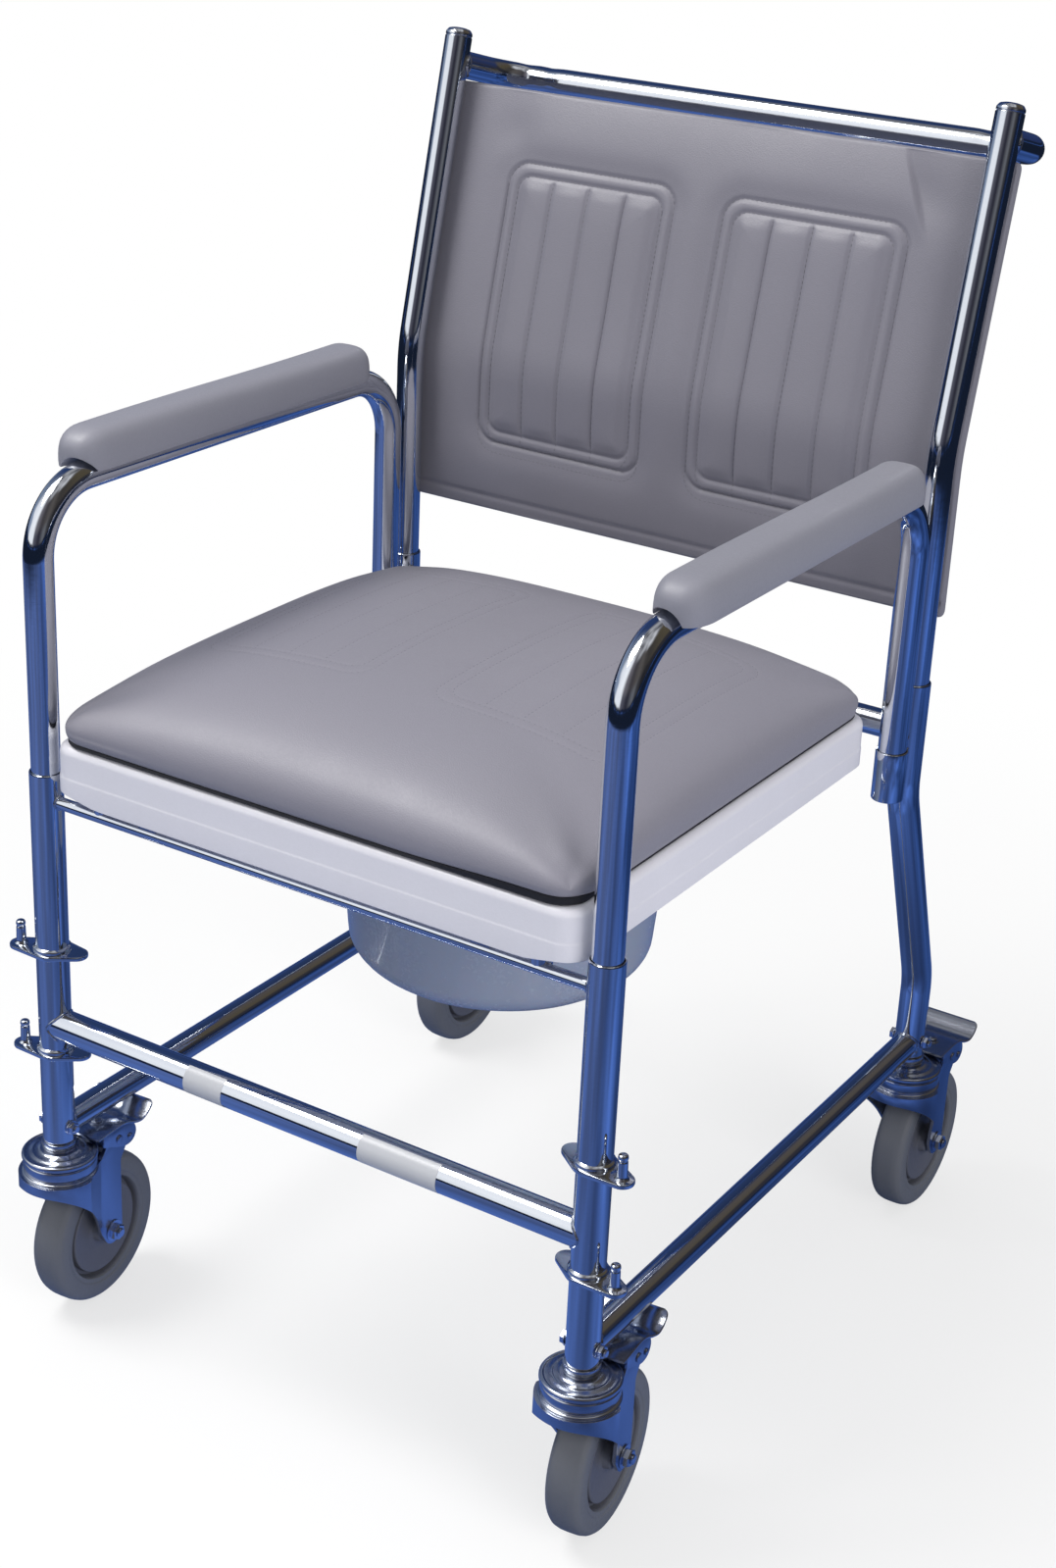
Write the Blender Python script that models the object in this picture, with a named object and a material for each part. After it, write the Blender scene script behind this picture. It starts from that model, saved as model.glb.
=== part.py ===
"""Wheeled commode chair: chromed tube frame, lift-off back, arms and seat cushion,
sliding pan and four swivel casters with foot brakes.

Metres, +Z up, the sitter looks along -Y. Lengths along Y are first taken from the front
legs, and the whole chair then hangs from one empty that puts the origin on the floor
under the middle of its outline.
"""

from math import acos, atan2, cos, hypot, pi, radians, sin, tan

import bmesh
import bpy
from mathutils import Matrix, Vector

# Gaps between separate pieces
SEAT_GAP = 0.0003
PIN_GAP = 0.0004

# Tubes
LEG_R = 0.0127
LEG_WALL = 0.0012
SMALL_TUBE_R = 0.0111
SMALL_TUBE_WALL = 0.0012
FRONT_RAIL_R = 0.0048
SEAT_RAIL_R = 0.008
THIN_WALL = 0.001
TUBE_SIDES = 12
ROD_SIDES = 8
ARC_STEPS = 4

# Frame
LEG_HALF_SPACING = 0.2425
LEG_FOOT_Z = 0.1655
FRONT_LEG_TOP_Z = 0.482
WHEELBASE = 0.534
REAR_LEG_SET_IN = 0.077
BACK_Y = WHEELBASE - REAR_LEG_SET_IN
REAR_LEG_TOP_Z = 0.5327
REAR_LEG_BEND_TOP_Z = 0.438
REAR_LEG_BEND_LOW_Z = 0.240
REAR_LEG_BEND_R = 0.075
LOWER_BAR_Z = 0.2696
FRONT_RAIL_Z = 0.4588
BOTTOM_RAIL_Z = 0.177
CROSSBAR_Z = 0.491
SEAT_RAIL_X = LEG_HALF_SPACING - 0.0525
SEAT_RAIL_Z = 0.500
SEAT_RAIL_BEND_R = 0.018

# Arm rests
ARM_Z = 0.697
ARM_REAR_Y = BACK_Y - 0.0305
ARM_BEND_R = 0.052
ARM_PLUG_DEPTH = 0.055
SOCKET_TOP_Z = 0.4848
SOCKET_BOTTOM_Z = SOCKET_TOP_Z - 0.0408
SOCKET_WEB = 0.010
PAD_FRONT_Y = 0.041
PAD_REAR_Y = ARM_REAR_Y - 0.0375
PAD_HALF_WIDTH = 0.0205
PAD_OFFSET = 0.0055
PAD_BOTTOM_Z = ARM_Z + 0.0045
PAD_HEIGHT = 0.0285
PAD_CORNER_R = 0.014

# Back frame, measured up the upright from the floor
BACK_BEND_Z = 0.712
BACK_BEND_R = 0.150
BACK_RAKE = radians(13)
UPRIGHT_PLUG_DEPTH = 0.057
UPRIGHT_LENGTH = 0.9735
UPRIGHT_DOME = 0.005
HANDLE_DROP = 0.0279
HANDLE_LENGTH = UPRIGHT_LENGTH - HANDLE_DROP
HANDLE_REACH = 0.081
HANDLE_BEND_R = 0.035
PANEL_LOW = 0.582
PANEL_HIGH = HANDLE_LENGTH - SMALL_TUBE_R - 0.001
PANEL_HALF_WIDTH = LEG_HALF_SPACING + 0.0105
PANEL_THICKNESS = 0.0095
PANEL_CLEARANCE = 0.0014
PANEL_CROWN = 0.009
PANEL_CROWN_HALF_WIDTH = LEG_HALF_SPACING - 0.0145
PANEL_EDGE_ROUND = 0.003

# Sewn fields of the back panel
FIELD_INNER_X = 0.022
FIELD_OUTER_X = PANEL_CROWN_HALF_WIDTH - 0.049
FIELD_LOW = PANEL_LOW + 0.061
FIELD_HIGH = PANEL_HIGH - 0.0575
FIELD_BORDER = 0.010
FIELD_CORNER_R = 0.018
FIELD_RIBS = 4
STITCH_DEPTH = 0.0016
RIB_RISE = 0.0016
STITCH_RAMP = 0.004
HEM = 0.012

# Seat cushion and its board
CUSHION_HALF_WIDTH = LEG_HALF_SPACING - 0.019
CUSHION_FRONT_Y = -0.010
CUSHION_REAR_Y = BACK_Y - 0.0395
CUSHION_CORNER_R = 0.016
CUSHION_ROLL = 0.010
CUSHION_EDGE_HEIGHT = 0.0175
CUSHION_CROWN = 0.051
CUSHION_WELT = 0.0036
BOARD_INSET = 0.009
BOARD_THICKNESS = 0.0030
SEAT_FIELD_INNER_X = 0.028
SEAT_FIELD_OUTER_X = CUSHION_HALF_WIDTH - 0.0485
SEAT_FIELD_FRONT_Y = 0.098
SEAT_FIELD_REAR_Y = CUSHION_REAR_Y - 0.0855
SEAT_STITCH_DEPTH = 0.0010

# Moulded commode seat
SEAT_HALF_WIDTH = LEG_HALF_SPACING - 0.0165
SEAT_FRONT_Y = -0.014
SEAT_REAR_Y = BACK_Y - 0.038
SEAT_CORNER_R = 0.018
SEAT_TOP_Z = 0.513
SEAT_SKIRT_Z = 0.4735
SEAT_WALL = 0.0035
SEAT_STEP_Z = 0.4885
APERTURE_HALF_X = 0.108
APERTURE_HALF_Y = 0.130
APERTURE_LIP = 0.014
NOTCH_GAP = 0.0007

# Pan and runners
PAN_Y = (SEAT_FRONT_Y + SEAT_REAR_Y) / 2 + 0.051
PAN_RIM_R = 0.150
PAN_WALL = 0.0025
PAN_BOTTOM_Z = 0.299
PAN_KNEE_Z = 0.3285
PAN_MOUTH_R = 0.133
PAN_BELLY_R = 0.121
PAN_FOOT_R = 0.0727
PAN_SIDES = 22
RUNNER_WALL = 0.002
RUNNER_FLANGE = 0.016
RUNNER_GAP = 0.0007
RUNNER_OVERHANG = 0.004
RUNNER_HANGER_GAP = 0.008
RUNNER_Z = FRONT_RAIL_Z + FRONT_RAIL_R + SEAT_GAP
PAN_RIM_Z = RUNNER_Z + RUNNER_WALL + RUNNER_GAP + PAN_WALL

# Footrest brackets
BRACKET_Z = {"left": (0.2433, 0.3303), "right": (0.2375, 0.3245)}
BRACKET_TURN = radians(15)
BRACKET_THICKNESS = 0.0035
BRACKET_WAIST_R = 0.0165
BRACKET_OUTER_REACH = 0.0262
BRACKET_INNER_REACH = 0.0200
BRACKET_LOBE_R = 0.009
BRACKET_COLLAR_R = 0.0146
BRACKET_COLLAR_HEIGHT = 0.009
BRACKET_PIN_R = 0.0037
BRACKET_PIN_HEIGHT = 0.0195

# Casters
WHEEL_R = 0.0635
WHEEL_WIDTH = 0.0284
HUB_R = 0.044
HUB_WIDTH = 0.030
HUB_BOSS_R = 0.012
HUB_RECESS = 0.007
TYRE_SHOULDER = 0.0055
CASTER_TRAIL = 0.039
CASTER_YAW_DEG = {"front_right": 5.6, "front_left": 3.9, "rear_right": 0.0, "rear_left": 0.0}
WHEEL_SIDES = 24
HUB_SIDES = 14
STEM_SIDES = 12
RACE_SIDES = 12
HOOD_R = 0.033
HOOD_TOP_Z = 0.137
HOOD_WALL = 0.0028
FORK_HALF_WIDTH = 0.0205
FORK_REAR_Y = 0.060
FORK_NECK_Y = 0.024
AXLE_LOBE_R = 0.0115
EAR_TOP_Z = 0.152
EAR_FRONT_Y = 0.030
RACE_R = 0.029
RACE_TOP_Z = 0.1492
CAP_R = 0.030
CAP_RIM = 0.0045
CAP_RISE = 0.0075
CAP_GAP = 0.0006
KINGPIN_R = 0.0048
RIVET_R = 0.007
RIVET_HEIGHT = 0.003
STEM_NECK_R = 0.012
STEM_COLLAR_R = 0.0138
STEM_COLLAR_HEIGHT = 0.0055
STEM_PLUG_TOP_Z = 0.215
AXLE_R = 0.004
AXLE_REACH = 0.0285
AXLE_HEAD = 0.0062
AXLE_HEAD_R = 0.0072
BOLT_R = 0.003
BOLT_Z = 0.1790
BOLT_HEAD = 0.0042
BOLT_HEAD_R = 0.0052
BOLT_TIP = 0.002
PEDAL_PIVOT_Y = 0.046
PEDAL_PIVOT_Z = 0.147
PEDAL_PIN_R = 0.003
PEDAL_SHEET = 0.002
PEDAL_HALF_WIDTH = 0.0235
PEDAL_STEP_HALF_WIDTH = 0.029
PEDAL_TOP_Z = 0.1582
PEDAL_STEP_Z = 0.1625
PEDAL_FRONT_Y = 0.0205
CHEEK_FRONT_Y = 0.0265
PEDAL_STEP_Y = 0.086
CHEEK_GAP = 0.0004
SHOE_GAP = 0.0016

MIDDLE_Y = (WHEELBASE + CASTER_TRAIL + WHEEL_R - HOOD_R) / 2

# Colour, roughness and metallic value of each finish
FINISHES = {
    "chrome": ((0.78, 0.80, 0.84), 0.08, 1.0),
    "zinc": ((0.62, 0.65, 0.70), 0.28, 1.0),
    "vinyl": ((0.24, 0.25, 0.28), 0.50, 0.0),
    "arm_foam": ((0.27, 0.28, 0.31), 0.60, 0.0),
    "seat_plastic": ((0.78, 0.80, 0.84), 0.35, 0.0),
    "pan_plastic": ((0.50, 0.55, 0.66), 0.30, 0.0),
    "board_black": ((0.02, 0.02, 0.025), 0.60, 0.0),
    "tyre_rubber": ((0.13, 0.13, 0.14), 0.60, 0.0),
    "hub_plastic": ((0.16, 0.16, 0.18), 0.50, 0.0),
}


# Scene helpers

def clear_scene():
    for item in list(bpy.data.objects):
        bpy.data.objects.remove(item, do_unlink=True)


def material(name, finish):
    colour, roughness, metallic = FINISHES[finish]
    made = bpy.data.materials.new(name)
    made.use_nodes = True
    shader = made.node_tree.nodes["Principled BSDF"]
    shader.inputs["Base Color"].default_value = (*colour, 1.0)
    shader.inputs["Roughness"].default_value = roughness
    shader.inputs["Metallic"].default_value = metallic
    made.diffuse_color = (*colour, 1.0)
    return made


def empty(name, parent=None, location=(0, 0, 0), turn_z=0.0):
    made = bpy.data.objects.new(name, None)
    made.empty_display_size = 0.02
    bpy.context.collection.objects.link(made)
    made.location = location
    made.rotation_euler = (0, 0, turn_z)
    made.parent = parent
    return made


def node(name, mesh, finish, parent, location=(0, 0, 0), turn_z=0.0):
    """One sub-part: its own mesh copy and material, placed under its parent."""
    mesh = mesh.copy()
    mesh.name = name
    mesh.materials.clear()
    mesh.materials.append(material(name, finish))
    mesh.shade_smooth()
    mesh.set_sharp_from_angle(angle=radians(38))
    made = bpy.data.objects.new(name, mesh)
    bpy.context.collection.objects.link(made)
    made.location = location
    made.rotation_euler = (0, 0, turn_z)
    made.parent = parent
    return made


# Mesh helpers

def to_mesh(work, name="shape"):
    bmesh.ops.recalc_face_normals(work, faces=work.faces)
    mesh = bpy.data.meshes.new(name)
    work.to_mesh(mesh)
    work.free()
    return mesh


def combine(body, tool, operation):
    """The Boolean of two closed meshes that share one frame."""
    base = bpy.data.objects.new("base", body)
    other = bpy.data.objects.new("tool", tool)
    bpy.context.collection.objects.link(base)
    bpy.context.collection.objects.link(other)
    modifier = base.modifiers.new("combine", 'BOOLEAN')
    modifier.object = other
    modifier.operation = operation
    modifier.solver = 'EXACT'
    bpy.context.view_layer.update()
    evaluated = base.evaluated_get(bpy.context.evaluated_depsgraph_get())
    result = bpy.data.meshes.new_from_object(evaluated)
    bpy.data.objects.remove(base, do_unlink=True)
    bpy.data.objects.remove(other, do_unlink=True)
    return result


def cut(body, *tools):
    for tool in tools:
        body = combine(body, tool, 'DIFFERENCE')
    return body


def join(body, *others):
    for other in others:
        body = combine(body, other, 'UNION')
    return body


def moved(mesh, matrix):
    mesh = mesh.copy()
    mesh.transform(matrix)
    if matrix.is_negative:
        mesh.flip_normals()
    return mesh


def bridge(work, first, second):
    """Faces between two loops of equal count, either of which may be a single point."""
    count = max(len(first), len(second))
    for index in range(count):
        following = (index + 1) % count
        corners = [first[index % len(first)], first[following % len(first)],
                   second[following % len(second)], second[index % len(second)]]
        work.faces.new(list(dict.fromkeys(corners)))


def skin(loops, closed=False):
    """A closed mesh through loops of points, either a ring of loops or capped at both ends."""
    work = bmesh.new()
    made = [[work.verts.new(point) for point in loop] for loop in loops]
    for first, second in zip(made, made[1:]):
        bridge(work, first, second)
    if closed:
        bridge(work, made[-1], made[0])
    else:
        for loop in (made[0], made[-1]):
            if len(loop) > 1:
                work.faces.new(loop)
    return to_mesh(work)


def circle(frame, radius, sides):
    """Points of a circle in the frame's XY plane, one point where the radius is nothing."""
    if radius == 0:
        return [frame.translation.copy()]
    angles = [2 * pi * index / sides for index in range(sides)]
    return [frame @ Vector((radius * cos(angle), radius * sin(angle), 0)) for angle in angles]


ALONG_X = Matrix.Rotation(pi / 2, 4, 'Y')


def turned(profile, sides, frame=None, closed=False):
    """A body turned about the frame's Z from a list of radius and height pairs."""
    frame = frame or Matrix.Identity(4)
    loops = [circle(frame @ Matrix.Translation((0, 0, height)), radius, sides)
             for radius, height in profile]
    return skin(loops, closed)


def rounded_path(corners, bend_radius, steps=ARC_STEPS):
    """A centre line through the corners, with each inner corner rounded to an arc."""
    corners = [Vector(corner) for corner in corners]
    points = [corners[0]]
    for before, corner, after in zip(corners, corners[1:], corners[2:]):
        inward = (corner - before).normalized()
        outward = (after - corner).normalized()
        turn = inward.angle(outward)
        axis = inward.cross(outward).normalized()
        start = corner - inward * bend_radius * tan(turn / 2)
        centre = start + axis.cross(inward) * bend_radius
        for step in range(steps + 1):
            points.append(centre + Matrix.Rotation(turn * step / steps, 3, axis) @ (start - centre))
    points.append(corners[-1])
    return points


def path_frames(points):
    """A frame at each point, its Z along the path and carried along without twist."""
    runs = [(after - before).normalized() for before, after in zip(points, points[1:])]
    ways = [runs[0]]
    ways += [(before + after).normalized() for before, after in zip(runs, runs[1:])]
    ways.append(runs[-1])
    turn = Vector((0, 0, 1)).rotation_difference(ways[0])
    frames = []
    for index, point in enumerate(points):
        if index:
            turn = ways[index - 1].rotation_difference(ways[index]) @ turn
        frames.append(Matrix.Translation(point) @ turn.to_matrix().to_4x4())
    return frames


def bar(frames, radius, sides=TUBE_SIDES):
    return skin([circle(frame, radius, sides) for frame in frames])


def tube(frames, radius, wall, sides=TUBE_SIDES):
    """A tube with open ends along the frames."""
    loops = [circle(frame, radius, sides) for frame in frames]
    loops += [circle(frame, radius - wall, sides) for frame in reversed(frames)]
    return skin(loops, closed=True)


def prism(outline, low, high, frame=None):
    """An outline in the frame's XY plane, extruded along its Z."""
    frame = frame or Matrix.Identity(4)
    return skin([[frame @ Vector((x, y, height)) for x, y in outline] for height in (low, high)])


# Local X, Y and Z of a side view stand for world Y, Z and X
SIDE_VIEW = Matrix(((0, 0, 1, 0), (1, 0, 0, 0), (0, 1, 0, 0), (0, 0, 0, 1)))
# Local X, Y and Z of a front view stand for world X, Z and Y
FRONT_VIEW = Matrix(((1, 0, 0, 0), (0, 0, 1, 0), (0, 1, 0, 0), (0, 0, 0, 1)))


def arc(centre_x, centre_y, radius, start, end, steps):
    """Points of an arc in degrees, ends included."""
    points = []
    for step in range(steps + 1):
        angle = radians(start + (end - start) * step / steps)
        points.append((centre_x + radius * cos(angle), centre_y + radius * sin(angle)))
    return points


def rounded_outline(half_x, front, rear, corner, corner_steps, side_steps):
    """A rectangle with round corners, anticlockwise, its straight sides divided evenly."""
    centres = ((half_x - corner, rear - corner, 0), (corner - half_x, rear - corner, 90),
               (corner - half_x, front + corner, 180), (half_x - corner, front + corner, 270))
    corners = [arc(x, y, corner, start, start + 90, corner_steps) for x, y, start in centres]
    points = []
    for index, curve in enumerate(corners):
        points += curve
        last = Vector(curve[-1])
        following = Vector(corners[(index + 1) % len(corners)][0])
        points += [tuple(last.lerp(following, step / side_steps)) for step in range(1, side_steps)]
    return points


# Tube frame

def leg_frames(rear, top=None, bottom=LEG_FOOT_Z):
    """The centre line of a leg, from the foot up, in the plane X = 0."""
    if not rear:
        return path_frames([Vector((0, 0, bottom)), Vector((0, 0, top or FRONT_LEG_TOP_Z))])
    corners = [(0, WHEELBASE, bottom), (0, WHEELBASE, REAR_LEG_BEND_LOW_Z),
               (0, BACK_Y, REAR_LEG_BEND_TOP_Z), (0, BACK_Y, top or REAR_LEG_TOP_Z)]
    return path_frames(rounded_path(corners, REAR_LEG_BEND_R, 2))


def leg_y(rear):
    return WHEELBASE if rear else 0.0


def leg_cutters(rear):
    """Both legs as solid bars with the seating gap added."""
    beyond = 0.03
    top = (REAR_LEG_TOP_Z if rear else FRONT_LEG_TOP_Z) + beyond
    solid = bar(leg_frames(rear, top=top, bottom=LEG_FOOT_Z - beyond), LEG_R + SEAT_GAP)
    return [moved(solid, Matrix.Translation((side * LEG_HALF_SPACING, 0, 0))) for side in (-1, 1)]


def bolt_hole(rear):
    hole = turned([(BOLT_R + PIN_GAP, -LEG_R * 2), (BOLT_R + PIN_GAP, LEG_R * 2)], ROD_SIDES,
                  Matrix.Translation((0, leg_y(rear), BOLT_Z)) @ ALONG_X)
    return hole


def make_legs(chair):
    for rear in (False, True):
        leg = cut(tube(leg_frames(rear), LEG_R, LEG_WALL), bolt_hole(rear))
        for side, word in ((-1, "left"), (1, "right")):
            name = f"{'rear' if rear else 'front'}_leg_{word}"
            node(name, leg, "chrome", chair, (side * LEG_HALF_SPACING, 0, 0))


def cross_tube(y, z, radius, wall, sides=TUBE_SIDES):
    """A tube across the chair, coped to the legs at both ends."""
    frames = path_frames([Vector((-LEG_HALF_SPACING, y, z)), Vector((LEG_HALF_SPACING, y, z))])
    return tube(frames, radius, wall, sides)


def cross_solid(y, z, radius, sides=TUBE_SIDES):
    frames = path_frames([Vector((-LEG_HALF_SPACING, y, z)), Vector((LEG_HALF_SPACING, y, z))])
    return bar(frames, radius + SEAT_GAP, sides)


def make_bars(chair):
    front = leg_cutters(False)
    rear = leg_cutters(True)
    lower = cross_tube(0, LOWER_BAR_Z, LEG_R - SEAT_GAP, LEG_WALL)
    node("lower_front_bar", cut(lower, *front), "chrome", chair)
    rail = cross_tube(0, FRONT_RAIL_Z, FRONT_RAIL_R, THIN_WALL, ROD_SIDES)
    node("upper_front_rail", cut(rail, *front), "chrome", chair)
    crossbar = cross_tube(BACK_Y, CROSSBAR_Z, SMALL_TUBE_R, SMALL_TUBE_WALL)
    node("rear_crossbar", cut(crossbar, *rear), "chrome", chair)
    for side, word in ((-1, "left"), (1, "right")):
        x = side * LEG_HALF_SPACING
        frames = path_frames([Vector((x, 0, BOTTOM_RAIL_Z)), Vector((x, WHEELBASE, BOTTOM_RAIL_Z))])
        which = 0 if side < 0 else 1
        rail = cut(tube(frames, SMALL_TUBE_R, SMALL_TUBE_WALL), front[which], rear[which])
        node(f"bottom_rail_{word}", rail, "chrome", chair)


def seat_rail_frames(x):
    start = FRONT_RAIL_Z + FRONT_RAIL_R / 2
    corners = [(x, 0, start), (x, 0, SEAT_RAIL_Z), (x, BACK_Y, SEAT_RAIL_Z)]
    return path_frames(rounded_path(corners, SEAT_RAIL_BEND_R, 3))


def make_seat_rails(chair):
    """Rails that carry the seat, from the upper front rail up and back to the crossbar."""
    front = cross_solid(0, FRONT_RAIL_Z, FRONT_RAIL_R, ROD_SIDES)
    rear = cross_solid(BACK_Y, CROSSBAR_Z, SMALL_TUBE_R)
    for side, word in ((-1, "left"), (1, "right")):
        rail = tube(seat_rail_frames(side * SEAT_RAIL_X), SEAT_RAIL_R, THIN_WALL, ROD_SIDES)
        node(f"seat_rail_{word}", cut(rail, front.copy(), rear.copy()), "chrome", chair)


def make_arm_sockets(chair):
    """Short tubes welded to the front of the rear legs by a web."""
    rear = leg_cutters(True)
    for which, (side, word) in enumerate(((-1, "left"), (1, "right"))):
        axis = Matrix.Translation((side * LEG_HALF_SPACING, ARM_REAR_Y, 0))
        body = turned([(LEG_R, SOCKET_BOTTOM_Z), (LEG_R, SOCKET_TOP_Z)], TUBE_SIDES, axis)
        half = SOCKET_WEB / 2
        margin = 0.004
        web = prism([(-half, 0), (half, 0), (half, BACK_Y - ARM_REAR_Y), (-half, BACK_Y - ARM_REAR_Y)],
                    SOCKET_BOTTOM_Z + margin, SOCKET_TOP_Z - margin, axis)
        bore = turned([(LEG_R - LEG_WALL, SOCKET_BOTTOM_Z - margin),
                       (LEG_R - LEG_WALL, SOCKET_TOP_Z + margin)], TUBE_SIDES, axis)
        node(f"arm_socket_{word}", cut(join(body, web), bore, rear[which]), "chrome", chair)


def bracket_outline():
    """Plan of a footrest bracket: a waist round the leg with a lobe to each side along X."""
    outer = acos((BRACKET_WAIST_R - BRACKET_LOBE_R) / BRACKET_OUTER_REACH) * 180 / pi
    inner = acos((BRACKET_WAIST_R - BRACKET_LOBE_R) / BRACKET_INNER_REACH) * 180 / pi
    points = arc(BRACKET_OUTER_REACH, 0, BRACKET_LOBE_R, -outer, outer, 5)
    points += arc(0, 0, BRACKET_WAIST_R, outer, 180 - inner, 3)
    points += arc(-BRACKET_INNER_REACH, 0, BRACKET_LOBE_R, 180 - inner, 180 + inner, 5)
    points += arc(0, 0, BRACKET_WAIST_R, 180 + inner, 360 - outer, 3)
    return points


def bracket_mesh(turn):
    """A footrest bracket turned about the leg, its collar and hole lined up with the leg's sides."""
    sink = BRACKET_THICKNESS * 0.4
    pin_top = BRACKET_THICKNESS + BRACKET_PIN_HEIGHT
    frame = Matrix.Rotation(turn, 4, 'Z')
    plate = prism(bracket_outline(), 0, BRACKET_THICKNESS, frame)
    collar = turned([(BRACKET_COLLAR_R, -sink), (BRACKET_COLLAR_R, BRACKET_COLLAR_HEIGHT - sink)], TUBE_SIDES)
    pin = turned([(BRACKET_PIN_R, sink), (BRACKET_PIN_R, pin_top - BRACKET_PIN_R),
                  (BRACKET_PIN_R * 0.72, pin_top - BRACKET_PIN_R * 0.3), (0, pin_top)],
                 ROD_SIDES, frame @ Matrix.Translation((BRACKET_OUTER_REACH, 0, 0)))
    hole_radius = LEG_R + SEAT_GAP
    hole = turned([(hole_radius, -BRACKET_PIN_HEIGHT), (hole_radius, BRACKET_PIN_HEIGHT)], TUBE_SIDES)
    return cut(join(plate, collar, pin), hole)


def make_footrest_brackets(chair):
    """Eye-shaped plates welded round the front legs, each with an upright pin."""
    for side, word, turn in ((-1, "left", pi + BRACKET_TURN), (1, "right", -BRACKET_TURN)):
        bracket = bracket_mesh(turn)
        for height, level in zip(BRACKET_Z[word], ("lower", "upper")):
            node(f"footrest_bracket_{level}_{word}", bracket, "chrome", chair,
                 (side * LEG_HALF_SPACING, 0, height))


# Arm rests

def arm_frames():
    front_foot = FRONT_LEG_TOP_Z - ARM_PLUG_DEPTH
    corners = [(0, 0, front_foot), (0, 0, ARM_Z), (0, ARM_REAR_Y, ARM_Z), (0, ARM_REAR_Y, SOCKET_BOTTOM_Z)]
    return path_frames(rounded_path(corners, ARM_BEND_R))


def pad_mesh(side):
    """Arm pad with a round top, with a groove along its underside that sits on the tube."""
    top = PAD_BOTTOM_Z + PAD_HEIGHT
    levels = ((PAD_BOTTOM_Z, 0.0025), (PAD_BOTTOM_Z + 0.003, 0.0), (top - 0.013, 0.0), (top - 0.007, 0.0015),
              (top - 0.003, 0.0045), (top - 0.0008, 0.0090), (top, 0.0150))
    loops = []
    for height, inset in levels:
        corner = max(PAD_CORNER_R - inset, 0.005)
        outline = rounded_outline(PAD_HALF_WIDTH - inset, PAD_FRONT_Y + inset, PAD_REAR_Y - inset,
                                  corner, 4, 2)
        loops.append([Vector((x + side * PAD_OFFSET, y, height)) for x, y in outline])
    ends = [Vector((0, 0, ARM_Z)), Vector((0, ARM_REAR_Y, ARM_Z))]
    return cut(skin(loops), bar(path_frames(ends), SMALL_TUBE_R + SEAT_GAP))


def make_arms(chair):
    hoop = tube(arm_frames(), SMALL_TUBE_R, SMALL_TUBE_WALL)
    for side, word in ((-1, "left"), (1, "right")):
        arm = empty(f"arm_{word}_joint", chair, (side * LEG_HALF_SPACING, 0, 0))
        node(f"arm_tube_{word}", hoop, "chrome", arm)
        node(f"arm_pad_{word}", pad_mesh(side), "arm_foam", arm)


# Back frame

def upright_frame(length):
    """The frame of an upright's centre line in the plane X = 0, at a length up from the floor."""
    bend_start = BACK_BEND_Z - BACK_BEND_R * tan(BACK_RAKE / 2)
    angle = min(max((length - bend_start) / BACK_BEND_R, 0.0), BACK_RAKE)
    rest = max(length - bend_start - BACK_BEND_R * BACK_RAKE, 0.0)
    y = BACK_Y + BACK_BEND_R * (1 - cos(angle)) + rest * sin(BACK_RAKE)
    z = min(length, bend_start) + BACK_BEND_R * sin(angle) + rest * cos(BACK_RAKE)
    return Matrix.Translation((0, y, z)) @ Matrix.Rotation(-angle, 4, 'X')


def upright_lengths():
    bend_start = BACK_BEND_Z - BACK_BEND_R * tan(BACK_RAKE / 2)
    steps = 3
    lengths = [REAR_LEG_TOP_Z - UPRIGHT_PLUG_DEPTH]
    lengths += [bend_start + BACK_BEND_R * BACK_RAKE * step / steps for step in range(steps + 1)]
    lengths.append(UPRIGHT_LENGTH - UPRIGHT_DOME)
    return lengths


def upright_mesh():
    """A tube open at the foot and closed by a dome at the top."""
    frames = [upright_frame(length) for length in upright_lengths()]
    inner = SMALL_TUBE_R - SMALL_TUBE_WALL
    end = frames[-1]
    loops = [circle(end @ Matrix.Translation((0, 0, UPRIGHT_DOME - SMALL_TUBE_WALL)), 0, TUBE_SIDES)]
    loops += [circle(frame, inner, TUBE_SIDES) for frame in reversed(frames)]
    loops += [circle(frame, SMALL_TUBE_R, TUBE_SIDES) for frame in frames]
    for share in (0.45, 0.8):
        rise = UPRIGHT_DOME * share
        loops.append(circle(end @ Matrix.Translation((0, 0, rise)), SMALL_TUBE_R * (1 - share ** 2) ** 0.5,
                            TUBE_SIDES))
    loops.append(circle(end @ Matrix.Translation((0, 0, UPRIGHT_DOME)), 0, TUBE_SIDES))
    return skin(loops)


def handle_mesh():
    """Push handle: out from one upright, square to its rake, across, and back to the other."""
    frame = upright_frame(HANDLE_LENGTH)
    corners = [frame @ Vector((x, y, 0)) for x, y in
               ((LEG_HALF_SPACING, 0), (LEG_HALF_SPACING, HANDLE_REACH),
                (-LEG_HALF_SPACING, HANDLE_REACH), (-LEG_HALF_SPACING, 0))]
    handle = tube(path_frames(rounded_path(corners, HANDLE_BEND_R)), SMALL_TUBE_R, SMALL_TUBE_WALL)
    solid = bar([upright_frame(length) for length in upright_lengths()], SMALL_TUBE_R + SEAT_GAP)
    return cut(handle, *[moved(solid, Matrix.Translation((side * LEG_HALF_SPACING, 0, 0)))
                         for side in (-1, 1)])


# Quilted soft pieces

def corner_pull(across, along, half_across, half_along, radius):
    """Moves a point of a rectangle so that the rectangle's corners become round."""
    over_x = (abs(across) - (half_across - radius)) / radius
    over_y = (abs(along) - (half_along - radius)) / radius
    if over_x <= 0 or over_y <= 0:
        return across, along
    reach = max(over_x, over_y) / hypot(over_x, over_y) * radius
    new_x = half_across - radius + over_x * reach
    new_y = half_along - radius + over_y * reach
    return (new_x if across > 0 else -new_x), (new_y if along > 0 else -new_y)


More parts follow.
